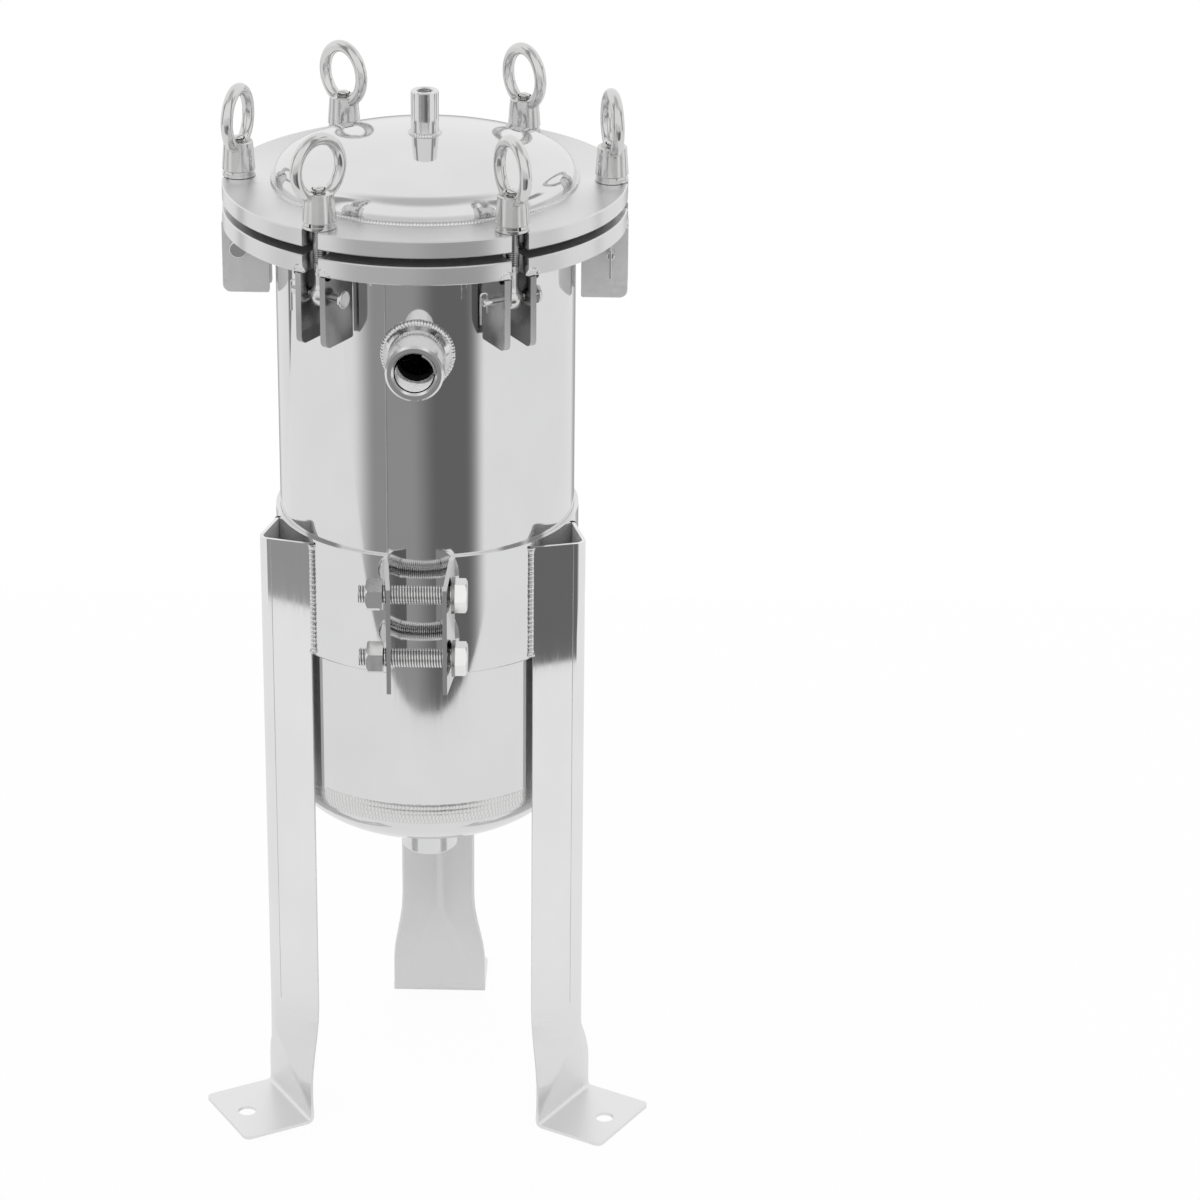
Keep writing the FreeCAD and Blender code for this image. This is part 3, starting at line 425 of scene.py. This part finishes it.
def smooth_by_angle(mesh, degrees):
    """Smooth shading that keeps the edges sharper than an angle; normals from a file are let go."""
    if mesh.has_custom_normals:
        mesh.normals_split_custom_set([(0, 0, 0)] * len(mesh.loops))
    mesh.shade_smooth()
    mesh.set_sharp_from_angle(angle=math.radians(degrees))


# Mesh helpers
def add_piece(name, verts, faces, material, body, slot, smooth=PIECE_SMOOTH_DEG):
    """One piece of the scene, which rides on a body of the record."""
    mesh = bpy.data.meshes.new(name)
    mesh.from_pydata([tuple(v) for v in verts], [], faces)
    mesh.validate()
    mesh.materials.append(material)
    smooth_by_angle(mesh, smooth)
    obj = bpy.data.objects.new(name, mesh)
    bpy.context.scene.collection.objects.link(obj)
    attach(obj, body)
    return obj


def grid_faces(rows, columns, wrap_rows=False, wrap_columns=False):
    """Quads of a grid of points that is stored row by row."""
    faces = []
    for i in range(rows if wrap_rows else rows - 1):
        for j in range(columns if wrap_columns else columns - 1):
            row = i * columns
            next_row = (i + 1) % rows * columns
            next_j = (j + 1) % columns
            faces.append((row + j, row + next_j, next_row + next_j, next_row + j))
    return faces


def lathe(profile, segments, closed=True):
    """Turns (radius, z) points about the Z axis; a closed profile goes back to its first point."""
    verts = []
    for k in range(segments):
        angle = 2 * math.pi * k / segments
        for r, z in profile:
            verts.append(Vector((r * math.cos(angle), r * math.sin(angle), z)))
    return verts, grid_faces(segments, len(profile), True, closed)


def joined(*parts):
    """One mesh of several, each as its points and faces."""
    verts, faces = [], []
    for part_verts, part_faces in parts:
        shift = len(verts)
        verts.extend(part_verts)
        faces.extend(tuple(i + shift for i in face) for face in part_faces)
    return verts, faces


def moved(part, matrix):
    verts, faces = part
    return [matrix @ v for v in verts], faces


def helix(crest_r, root_r, pitch, low, high, per_turn=28):
    """An outside or inside thread about Z between two heights. The profile has the radius at
    each share of the pitch: the root, the crest's two edges and the root again."""
    profile = ((root_r, 0.0), (crest_r, 0.34), (crest_r, 0.48), (root_r, 0.82))
    turns = int((high - low) / pitch) + 2
    verts = []
    steps = turns * per_turn
    for i in range(steps + 1):
        angle = 2 * math.pi * i / per_turn
        base = low - pitch + pitch * i / per_turn
        for r, share in profile:
            z = min(high, max(low, base + share * pitch))
            verts.append(Vector((r * math.cos(angle), r * math.sin(angle), z)))
        z = min(high, max(low, base + pitch))
        verts.append(Vector((root_r * math.cos(angle), root_r * math.sin(angle), z)))
    return verts, grid_faces(steps + 1, len(profile) + 1)


def turn_z(degrees):
    return Matrix.Rotation(math.radians(degrees), 4, "Z")


# Weld beads
BEAD_COLUMNS = 9
END_SWELL = 0.45


def weld_bead(name, points, ups, closed, width, height, pitch, body="housing", lines=1.0):
    """A rippled bead along points; ups are the directions away from the joint, pitch is the
    length of a ripple, and lines says how much painted shade darkens the lines between the ripples."""
    count = len(points)
    verts, ripples = [], []
    travelled = 0.0
    total = sum((b - a).length for a, b in zip(points, points[1:]))
    last = points[-1] if closed else points[0]
    for i in range(count):
        travelled += (points[i] - last).length if i or closed else 0.0
        last = points[i]
        ahead = points[(i + 1) % count] if closed or i < count - 1 else points[i]
        behind = points[i - 1] if closed or i > 0 else points[i]
        along = (ahead - behind).normalized()
        up = ups[i].normalized()
        side = along.cross(up).normalized()
        from_end = min(travelled, total - travelled) / (0.7 * pitch)
        swell = 1.0 if closed else 1.0 + END_SWELL * math.exp(-from_end * from_end)
        for j in range(BEAD_COLUMNS):
            t = -1 + 2 * j / (BEAD_COLUMNS - 1)
            phase = travelled / pitch + 0.55 * t * t + 0.5 * noise.noise(points[i] * 90)
            scallop = abs(math.sin(math.pi * phase)) ** 0.6
            wander = noise.noise(Vector((math.floor(phase) * 3.7, t * 0.8, count * 0.01)))
            edge = noise.noise(Vector((travelled / pitch * 0.6, 5.1, 0)))
            rise = height * swell * (1 - t * t) * (0.72 + 0.28 * scallop + 0.22 * wander)
            spread = width * 0.5 * swell * t * (1 + 0.12 * edge)
            verts.append(points[i] + side * spread + up * (rise - height * 0.12))
            # Painted shade: the bead is darker where its ripples dip
            ripples.append(1.0 - lines * (1.0 - min(1.0, 1.6 * scallop * (1 - 0.25 * t * t))))
    faces = grid_faces(count, BEAD_COLUMNS, closed)
    bead = add_piece(name, verts, faces, WELD, body, "sheet_steel", smooth=BEAD_SMOOTH_DEG)
    ripple = bead.data.attributes.new("ripple", "FLOAT", "POINT")
    ripple.data.foreach_set("value", ripples)
    return bead


def circle_points(radius, z, count):
    """Points round the Z axis and the directions away from it."""
    angles = [2 * math.pi * k / count for k in range(count)]
    points = [Vector((radius * math.cos(a), radius * math.sin(a), z)) for a in angles]
    outward = [Vector((math.cos(a), math.sin(a), 0)) for a in angles]
    return points, outward


def ring_weld(name, radius, z, lean, width, height, pitch, body="housing", lines=1.0):
    """A bead round the Z axis; lean is the share of +Z in its outward direction."""
    count = max(60, int(2 * math.pi * radius / (pitch / 8)))
    points, outward = circle_points(radius, z, count)
    ups = [o * (1 - abs(lean)) + Vector((0, 0, lean)) for o in outward]
    return weld_bead(name, points, ups, True, width, height, pitch, body, lines)


def straight_run(start, end, spacing):
    steps = max(2, int((end - start).length / spacing))
    return [start.lerp(end, k / steps) for k in range(steps + 1)]


def vessel_welds():
    ring_weld("flange_weld", BODY_R + 1.6 * MM, FLANGE_BOTTOM_Z - 1.6 * MM, -0.5, 6 * MM, 1.2 * MM,
              3 * MM)
    ring_weld("outlet_weld", PORT_OUT_R + 0.8 * MM, OUTLET_WELD_Z, -0.5, 6 * MM, 1.6 * MM, 2.6 * MM)
    ring_weld("vent_weld", VENT_OUT_R + 0.8 * MM, VENT_WELD_Z, 0.5, 4.5 * MM, 1.3 * MM, 2 * MM, "lid")
    ring_weld("dome_weld", DOME_R + 0.9 * MM, LID_TOP_Z + 0.9 * MM, 0.5, 4 * MM, 0.8 * MM, 2.4 * MM,
              "lid")


def inlet_weld():
    """The bead round the inlet's collar, on the curved wall of the body."""
    count = 560
    points, ups = [], []
    radius = INLET_WELD_R - 0.6 * MM
    for k in range(count):
        angle = 2 * math.pi * k / count
        x = radius * math.cos(angle)
        z = radius * math.sin(angle)
        y = -math.sqrt(BODY_R ** 2 - x * x)
        points.append(Vector((x, y, INLET_Z + z)))
        ups.append(Vector((x, y, 0)).normalized() + Vector((math.cos(angle), 0, math.sin(angle))) * 0.7)
    weld_bead("inlet_weld", points, ups, True, 7.4 * MM, 2.4 * MM, 2.3 * MM)


SCALE_ROWS = 4


def bottom_seam():
    """Rows of planished scales from the seam down to where the bottom starts to bend."""
    for row in range(SCALE_ROWS):
        z = SEAM_Z - (1.8 + 3.9 * row) * MM
        drop = max(0.0, (HEAD_TANGENT_Z - z) / HEAD_DEPTH)
        share = math.sqrt(1 - drop * drop)
        slope = drop * BODY_R / (share * HEAD_DEPTH)
        ring_weld("bottom_seam_weld_%d" % (row + 1), BODY_R * share, z, -slope / (1 + slope), 4.8 * MM,
                  0.24 * MM, 2.7 * MM, lines=0.7)


def side_letter(side):
    return "a" if side < 0 else "b"


def leg_welds():
    """Beads where both long edges of each leg meet the clamp band."""
    for number, angle in enumerate(LEG_ANGLES, 1):
        for side in (-1, 1):
            reach = math.sqrt((BAND_OUT_R + 0.1 * MM) ** 2 - LEG_HALF_WIDTH ** 2)
            turn = turn_z(angle)
            y = side * (LEG_HALF_WIDTH + 0.8 * MM)
            low = turn @ Vector((reach + 0.9 * MM, y, BAND_BOTTOM_Z + 2 * MM))
            high = turn @ Vector((reach + 0.9 * MM, y, LEG_TOP_Z - 0.3 * MM))
            points = straight_run(low, high, 0.5 * MM)
            up = turn @ Vector((0.6, side * 0.8, 0))
            weld_bead("leg_%d_weld_%s" % (number, side_letter(side)), points, [up] * len(points),
                      False, 4.2 * MM, 1.3 * MM, 3.6 * MM)


def lug_welds():
    """Beads along the tops of the ears, under the flange, and their marks on its rim."""
    for number in range(BOLT_COUNT):
        turn = turn_z(number * 360 / BOLT_COUNT)
        for side in (-1, 1):
            y = side * (EAR_HALF_GAP + EAR_THICK + 0.9 * MM)
            z = FLANGE_BOTTOM_Z - 0.9 * MM
            inner = turn @ Vector((EAR_IN_R + 2 * MM, y, z))
            outer = turn @ Vector((EAR_OUT_R - 2.5 * MM, y, z))
            points = straight_run(inner, outer, 0.4 * MM)
            up = turn @ Vector((0, side, -1))
            weld_bead("lug_%d_weld_%s" % (number + 1, side_letter(side)), points, [up] * len(points),
                      False, 4.6 * MM, 1.5 * MM, 2.8 * MM)
            rim_mark("lug_%d_rim_weld_%s" % (number + 1, side_letter(side)), turn,
                     side * (EAR_HALF_GAP + EAR_THICK / 2))


def rim_mark(name, turn, across):
    """The arc that the weld of an ear leaves on the rim of the flange above it."""
    points, ups = [], []
    for k in range(25):
        angle = math.radians(7.5 * k)
        side = across + 4.4 * MM * math.cos(angle)
        z = FLANGE_BOTTOM_Z + 1.2 * MM + 4.0 * MM * math.sin(angle)
        reach = math.sqrt(FLANGE_R ** 2 - side ** 2)
        points.append(turn @ Vector((reach, side, z)))
        ups.append(turn @ Vector((reach, side, 0)))
    weld_bead(name, points, ups, False, 2.4 * MM, 0.45 * MM, 2.4 * MM)


def thin_line(start, end, across, outward, half_width, height):
    """A low ridge along a straight run: points of a strip three wide."""
    verts = []
    for place in straight_run(start, end, 12 * MM):
        for share in (-1, 0, 1):
            verts.append(place + across * (share * half_width) + outward * (height * (1 - abs(share))))
    return verts, grid_faces(len(verts) // 3, 3)


def tube_seam():
    """The planished lengthwise seam of the body, left of the inlet."""
    outward = Vector((math.cos(SEAM_ANGLE), math.sin(SEAM_ANGLE), 0))
    across = Vector((-outward.y, outward.x, 0))
    foot = outward * (BODY_R - 0.02 * MM)
    low = foot + Vector((0, 0, BAND_TOP_Z + 1 * MM))
    high = foot + Vector((0, 0, FLANGE_BOTTOM_Z - 4 * MM))
    seam = thin_line(low, high, across, outward, 0.55 * MM, 0.14 * MM)
    add_piece("body_tube_seam", *seam, SEAM_MARK_AND_EDGE_SHADE, "housing", "sheet_steel", smooth=BEAD_SMOOTH_DEG)


def band_edge_shade():
    """A thin dark line of painted shadow along the lower edge of the clamp band, where it meets the
    body, all round but at its split.
    """
    steps = 240
    profile = ((-0.3, 0.0), (0.1, 0.05), (0.16, 0.35), (-0.05, 0.7))
    verts = []
    for k in range(steps + 1):
        angle = math.radians(-90 + BAND_OPEN_DEG + (360 - 2 * BAND_OPEN_DEG) * k / steps)
        for proud, rise in profile:
            r = BAND_OUT_R + proud * MM
            z = BAND_BOTTOM_Z + (rise - 0.1) * MM
            verts.append(Vector((r * math.cos(angle), r * math.sin(angle), z)))
    faces = grid_faces(steps + 1, len(profile))
    add_piece("clamp_band_edge_shade_line", verts, faces, SEAM_MARK_AND_EDGE_SHADE, "housing", "sheet_steel")


def brake_lines():
    """The fine line that the press brake leaves beside the fold on each leg face."""
    slope = math.radians(LEG_FACE_DEG)
    for number, angle in enumerate(LEG_ANGLES, 1):
        turn = turn_z(angle)
        parts = []
        for side in (-1, 1):
            outward = turn @ Vector((math.sin(slope), side * math.cos(slope), 0))
            across = turn @ Vector((math.cos(slope), -side * math.sin(slope), 0))
            edge = turn @ Vector((LEG_EDGE_X, side * LEG_HALF_WIDTH, 0))
            foot = edge + across * BRAKE_LINE_INSET - outward * 0.01 * MM
            low = foot + Vector((0, 0, LEG_SPREAD_TOP_Z + 4 * MM))
            high = foot + Vector((0, 0, LEG_TOP_Z - 0.5 * MM))
            parts.append(thin_line(low, high, across, outward, 0.32 * MM, 0.09 * MM))
        add_piece("leg_%d_brake_lines" % number, *joined(*parts), SEAM_MARK_AND_EDGE_SHADE, "housing", "sheet_steel",
                  smooth=BEAD_SMOOTH_DEG)


# The filter bag
def bag_fold(angle, z):
    """How far the felt pulls in at a place: soft folds that fade out at the ring and at the end."""
    from_top = (BAG_TOP_Z - z) / BAG_TOP_FADE
    from_end = (z - BAG_BOTTOM_Z) / BAG_END_FADE
    fade = min(1.0, max(0.0, from_top)) * min(1.0, max(0.15, from_end))
    wander = noise.noise(Vector((math.cos(angle) * 1.3, math.sin(angle) * 1.3, z * 9)))
    waves = 0.5 + 0.5 * math.sin(BAG_FOLDS * angle + 4.5 * wander)
    dents = 0.5 + 0.5 * noise.noise(Vector((math.cos(angle) * 3, math.sin(angle) * 3, z * 28 + 7)))
    return fade * (BAG_FOLD_DEPTH * waves + BAG_DENT_DEPTH * dents)


def bag_rows(radius, bottom, end_r):
    """(radius, z) points from the bag's closed end to its top, with a rounded corner."""
    rows = [(0.001, bottom)]
    rows += [(radius * share, bottom) for share in (0.25, 0.5)]
    for k in range(9):
        angle = math.radians(90 * k / 8)
        rows.append((radius - end_r * (1 - math.sin(angle)), bottom + end_r * (1 - math.cos(angle))))
    levels = 60
    start = bottom + end_r
    rows += [(radius, start + (BAG_TOP_Z - start) * k / levels) for k in range(1, levels + 1)]
    return rows


def felt_bag():
    """The sewn bag, with its wall, its soft folds and one lengthwise seam."""
    columns = 192
    outside = bag_rows(BAG_R, BAG_BOTTOM_Z, BAG_END_R)
    inside = bag_rows(BAG_R - BAG_WALL, BAG_BOTTOM_Z + BAG_WALL, BAG_END_R - BAG_WALL)[::-1]
    verts = []
    for k in range(columns):
        angle = 2 * math.pi * k / columns
        seam = BAG_SEAM_HEIGHT * math.exp(-((angle - math.pi) / BAG_SEAM_WIDTH) ** 2)
        for r, z in outside + inside:
            reach = max(0.001, r + (seam - bag_fold(angle, z)) * min(1.0, r / (BAG_R * 0.8)))
            verts.append(Vector((reach * math.cos(angle), reach * math.sin(angle), z)))
    faces = grid_faces(columns, len(outside) + len(inside), True, False)
    bag = add_piece("sewn_filter_bag", verts, faces, MATERIALS["bag_felt"], "housing", "bag_felt",
                    smooth=50)
    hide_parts("filter_bag")


# Fasteners
def bolt_eye():
    """The eye: a ball about the pin, cut flat on both sides and bored."""
    arc = []
    limit = math.asin(EYE_HALF_WIDTH / EYE_R)
    for k in range(17):
        angle = -limit + 2 * limit * k / 16
        arc.append((EYE_R * math.cos(angle), EYE_R * math.sin(angle)))
    bore = PIN_R + 0.08 * MM
    edge = 0.15 * MM
    profile = [(bore, -EYE_HALF_WIDTH + edge), (bore + edge, -EYE_HALF_WIDTH)] + arc
    profile += [(bore + edge, EYE_HALF_WIDTH), (bore, EYE_HALF_WIDTH - edge)]
    upright = Matrix.Rotation(math.radians(90), 4, "X")
    return moved(lathe(profile, 56), upright)


def bolt_mesh():
    """Swing bolt about the Z axis, with the pin at height 0."""
    start = THREAD_Z - PIN_Z
    end = BOLT_TIP_Z - PIN_Z - BOLT_TIP_LENGTH
    root = THREAD_ROOT_R
    shank = [(SHANK_R + 1.4 * MM, 5.6 * MM), (SHANK_R + 0.4 * MM, 7.4 * MM), (SHANK_R, 9.4 * MM),
             (SHANK_R, start - 1 * MM), (root, start + 0.2 * MM)]
    tip = [(root, end - 0.6 * MM)]
    for k in range(7):
        angle = math.radians(90 * k / 6)
        tip.append((root * math.cos(angle), end - 0.2 * MM + 2.1 * MM * math.sin(angle)))
    return joined(bolt_eye(), lathe(shank, 40, False), helix(THREAD_R, root, THREAD_PITCH, start, end),
                  lathe(tip, 40, False))


def thread_core(root, low, high):
    """Painted shade in the bottom of a thread: a dark core a little proud of its root."""
    core = root + 0.22 * MM
    return lathe([(root, low), (core, low + 0.3 * MM), (core, high - 0.3 * MM), (root, high)], 40, False)


def swing_bolts():
    bolt_part = bolt_mesh()
    core = thread_core(THREAD_ROOT_R, THREAD_Z - PIN_Z, BOLT_TIP_Z - PIN_Z - BOLT_TIP_LENGTH)
    for number in range(1, BOLT_COUNT + 1):
        turn = turn_z((number - 1) * 360 / BOLT_COUNT)
        place = turn @ Matrix.Translation((BOLT_CIRCLE_R, 0, PIN_Z))
        body = "bolt_%d" % number
        bolt = add_piece("threaded_swing_bolt_%d" % number, *moved(bolt_part, place),
                         MATERIALS["fastener_steel"], body, "fastener_steel")
        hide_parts("swing_bolt_%d" % number)
        add_piece("swing_bolt_root_%d" % number, *moved(core, place), THREAD_ROOT_SHADE, body,
                  "fastener_steel")


def hex_head(flats, thick):
    """Hexagonal head about Z, resting on height 0, its upper corners turned off at 30 degrees."""
    samples = 72
    face_r = flats / 2 * 0.95
    slope = math.tan(math.radians(30))
    verts = []
    for k in range(samples):
        angle = 2 * math.pi * k / samples
        wedge = (angle + math.pi / 6) % (math.pi / 3) - math.pi / 6
        reach = flats / 2 / math.cos(wedge)
        drop = max(0.0, (reach - face_r) * slope)
        rows = ((0.0, 0.0), (reach, 0.0), (reach, thick - drop), (face_r, thick), (0.0, thick))
        for r, z in rows:
            verts.append(Vector((r * math.cos(angle), r * math.sin(angle), z)))
    return verts, grid_faces(samples, len(rows), True)


def clamp_bolts():
    """Both clamp bolts, their heads towards +X, with full threads and painted shade in their roots."""
    root = CLAMP_ROOT_R
    low, high = -CLAMP_BOLT_LENGTH, 0.0
    head = hex_head(CLAMP_FLATS, CLAMP_HEAD_THICK)
    thread = helix(CLAMP_BOLT_R, root, CLAMP_BOLT_PITCH, low + 0.8 * MM, high)
    end = lathe([(0.1 * MM, low), (root, low), (root + 0.3 * MM, low + 0.3 * MM)], 40, False)
    along_x = Matrix.Rotation(math.radians(90), 4, "Y")
    parts, cores = [], []
    for z in CLAMP_BOLT_Z:
        place = Matrix.Translation((CLAMP_HEAD_X, -CLAMP_BOLT_REACH, z)) @ along_x
        parts.append(moved(joined(head, thread, end), place))
        cores.append(moved(thread_core(root, low + 0.3 * MM, high), place))
    bolts = add_piece("threaded_clamp_bolts", *joined(*parts), CLAMP_STEEL, "housing",
                      "fastener_steel", smooth=35)
    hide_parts("clamp_bolts")
    add_piece("clamp_bolt_roots", *joined(*cores), THREAD_ROOT_SHADE, "housing", "fastener_steel")


def port_threads():
    """Inside threads of the three ports; the inlet's deeper turns and the outlet's thread are painted
    dark, as painted shade inside the bores.
    """
    root = PORT_BORE_R + 0.05 * MM
    crest = PORT_BORE_R - 0.9 * MM
    to_front = Matrix.Translation((0, 0, INLET_Z)) @ Matrix.Rotation(math.radians(90), 4, "X")
    bright_end = INLET_REACH - INLET_BRIGHT_DEPTH
    mouth = moved(helix(crest, root, PORT_PITCH, bright_end, INLET_REACH - 1.6 * MM, 48), to_front)
    add_piece("inlet_thread", *mouth, COUPLING, "housing", "turned_steel")
    inner_end = INLET_REACH - INLET_THREAD_DEPTH
    deep = moved(helix(crest, root, PORT_PITCH, inner_end, bright_end, 48), to_front)
    add_piece("inlet_thread_inner_turns", *deep, BORE_DARK, "housing", "turned_steel")
    outlet = helix(crest, root, PORT_PITCH, OUTLET_MOUTH_Z + 2 * MM,
                   OUTLET_MOUTH_Z + OUTLET_THREAD_DEPTH, 48)
    add_piece("outlet_thread", *outlet, THREAD_ROOT_SHADE, "housing", "turned_steel")
    vent = helix(VENT_BORE_R - 0.5 * MM, VENT_BORE_R + 0.05 * MM, VENT_PITCH, *VENT_THREAD_Z, 36)
    add_piece("vent_thread", *vent, COUPLING, "lid", "turned_steel")


# Camera, light and floor
CAMERA_PLACE = Vector((0.1713, -2.9038, 1.6602))
CAMERA_HEADING = math.radians(-0.821)
CAMERA_PITCH = math.radians(23.386)
CAMERA_ROLL = math.radians(-0.6125)
CAMERA_LENS = 125.8
CAMERA_SENSOR = 36.0
CAMERA_REACH = 50


def make_camera():
    """The photograph's camera: its place, heading, pitch and roll."""
    data = bpy.data.cameras.new("camera")
    data.sensor_fit = "HORIZONTAL"
    data.sensor_width = CAMERA_SENSOR
    data.lens = CAMERA_LENS
    data.clip_end = CAMERA_REACH
    camera = bpy.data.objects.new("camera", data)
    bpy.context.scene.collection.objects.link(camera)
    level = math.cos(CAMERA_PITCH)
    forward = Vector((math.sin(CAMERA_HEADING) * level, math.cos(CAMERA_HEADING) * level,
                      -math.sin(CAMERA_PITCH)))
    right = Vector((math.cos(CAMERA_HEADING), -math.sin(CAMERA_HEADING), 0))
    down = forward.cross(right)
    across = right * math.cos(CAMERA_ROLL) + down * math.sin(CAMERA_ROLL)
    up = right * math.sin(CAMERA_ROLL) - down * math.cos(CAMERA_ROLL)
    basis = Matrix((across, up, -forward)).transposed().to_4x4()
    camera.matrix_world = Matrix.Translation(CAMERA_PLACE) @ basis
    bpy.context.scene.camera = camera


# The studio's level above and below the horizon
STUDIO_BASE = 0.93
STUDIO_LOW = 0.86

# Its darker areas: azimuth from the front, towards +X, then elevation, each as
# (from, to) in degrees, how softly each of those four ends, and the brightness
STUDIO_AREAS = (
    ((-179, -40), (-60, -8), (2, 12), (5, 10), 0.84),
    ((-48, 41), (-60, 8), (24, 16), (5, 18), 0.7),
    ((-46.5, 40.5), (-60, -12), (20, 18), (5, 10), 0.31),
    ((1, 40.5), (-60, -12), (22, 18), (5, 10), 0.14),
    ((-400, -160), (-60, -8), (2, 14), (5, 10), 0.42),
    ((160, 400), (-60, -8), (14, 2), (5, 10), 0.42),
    ((-400, 400), (64, 95), (2, 2), (24, 2), 0.56),
    ((88, 106), (18, 29), (8, 8), (5, 2), 0.34),
    ((-106, -88), (18, 29), (8, 8), (5, 2), 0.38),
    ((62, 84), (-11, 58), (10, 10), (5, 18), 0.36),
    ((-92, -70), (-11, 58), (10, 10), (5, 18), 0.36),
    ((113, 120), (-20.6, -12), (2, 2), (0.8, 2), 0.20),
    ((-128, -120), (-20.6, -12), (2, 2), (0.8, 2), 0.20),
)


def make_world():
    """The studio that the steel reflects; the camera itself sees white."""
    world = bpy.data.worlds.new("studio")
    bpy.context.scene.world = world
    world.use_nodes = True
    nodes = world.node_tree.nodes
    links = world.node_tree.links
    nodes.clear()
    place = nodes.new("ShaderNodeTexCoord")
    split = nodes.new("ShaderNodeSeparateXYZ")
    links.new(place.outputs["Generated"], split.inputs[0])
    toward = math_node(nodes, links, "MULTIPLY", split.outputs["Y"], -1.0)
    azimuth = math_node(nodes, links, "ARCTAN2", split.outputs["X"], toward)
    azimuth = math_node(nodes, links, "MULTIPLY", azimuth, 180 / math.pi)
    height = math_node(nodes, links, "ARCSINE", split.outputs["Z"])
    height = math_node(nodes, links, "MULTIPLY", height, 180 / math.pi)
    rise = smooth_step(nodes, links, height, -12, 4)
    level = mixed_level(nodes, links, STUDIO_LOW, rise, STUDIO_BASE)
    for sides, heights, side_soft, height_soft, brightness in STUDIO_AREAS:
        inside = band_mask(nodes, links, azimuth, sides, side_soft)
        over = band_mask(nodes, links, height, heights, height_soft)
        mask = math_node(nodes, links, "MULTIPLY", inside, over)
        level = mixed_level(nodes, links, level, mask, brightness)
    ray = nodes.new("ShaderNodeLightPath")
    level = mixed_level(nodes, links, level, ray.outputs["Is Camera Ray"], 1.0)
    background = nodes.new("ShaderNodeBackground")
    links.new(level, background.inputs["Color"])
    output = nodes.new("ShaderNodeOutputWorld")
    links.new(background.outputs[0], output.inputs["Surface"])


# Corners of the paper on the floor. Its front edge, which the legs show, comes nearer on the right.
FLOOR_OUTLINE = (
    (-2.2, -0.88),
    (0.05, -0.88),
    (0.51, -0.824),
    (2.2, -0.62),
    (2.2, 0.95),
    (-2.2, 0.95),
)
FLOOR_Z = -0.0003

# What the paper sends to the camera and to the metal, and how much of each is its own glow
PAPER_SEEN = 1.03
PAPER_REFLECTED = 0.89
GLOW_SEEN = 0.9
GLOW_REFLECTED = 0.85


def floor_paper():
    """White to the camera, with the object's shadow, and a little darker in the metal."""
    mat, nodes, links, shader = node_material("floor paper")
    shader.inputs["Base Color"].default_value = (0.86, 0.86, 0.86, 1)
    shader.inputs["Roughness"].default_value = 0.9
    shader.inputs["Specular IOR Level"].default_value = 0.0
    ray = nodes.new("ShaderNodeLightPath")
    seen = ray.outputs["Is Camera Ray"]
    reflected = ray.outputs["Is Glossy Ray"]
    glow = nodes.new("ShaderNodeEmission")
    links.new(mixed_level(nodes, links, PAPER_SEEN, reflected, PAPER_REFLECTED), glow.inputs["Strength"])
    share = math_node(nodes, links, "MAXIMUM",
                      math_node(nodes, links, "MULTIPLY", seen, GLOW_SEEN),
                      math_node(nodes, links, "MULTIPLY", reflected, GLOW_REFLECTED))
    mix = nodes.new("ShaderNodeMixShader")
    links.new(share, mix.inputs[0])
    links.new(shader.outputs[0], mix.inputs[1])
    links.new(glow.outputs[0], mix.inputs[2])
    links.new(mix.outputs[0], nodes["Material Output"].inputs["Surface"])
    return mat


def make_floor():
    """White paper on the floor, which ends in front of the object as in a studio."""
    mesh = bpy.data.meshes.new("floor")
    verts = [(x, y, FLOOR_Z) for x, y in FLOOR_OUTLINE]
    mesh.from_pydata(verts, [], [tuple(range(len(verts)))])
    mesh.materials.append(floor_paper())
    floor = bpy.data.objects.new("floor", mesh)
    bpy.context.scene.collection.objects.link(floor)


paint_frame()
vessel_welds()
inlet_weld()
bottom_seam()
leg_welds()
lug_welds()
swing_bolts()
clamp_bolts()
port_threads()
tube_seam()
band_edge_shade()
brake_lines()
felt_bag()
make_camera()
make_world()
make_floor()

scene = bpy.context.scene
scene.view_settings.view_transform = "Standard"
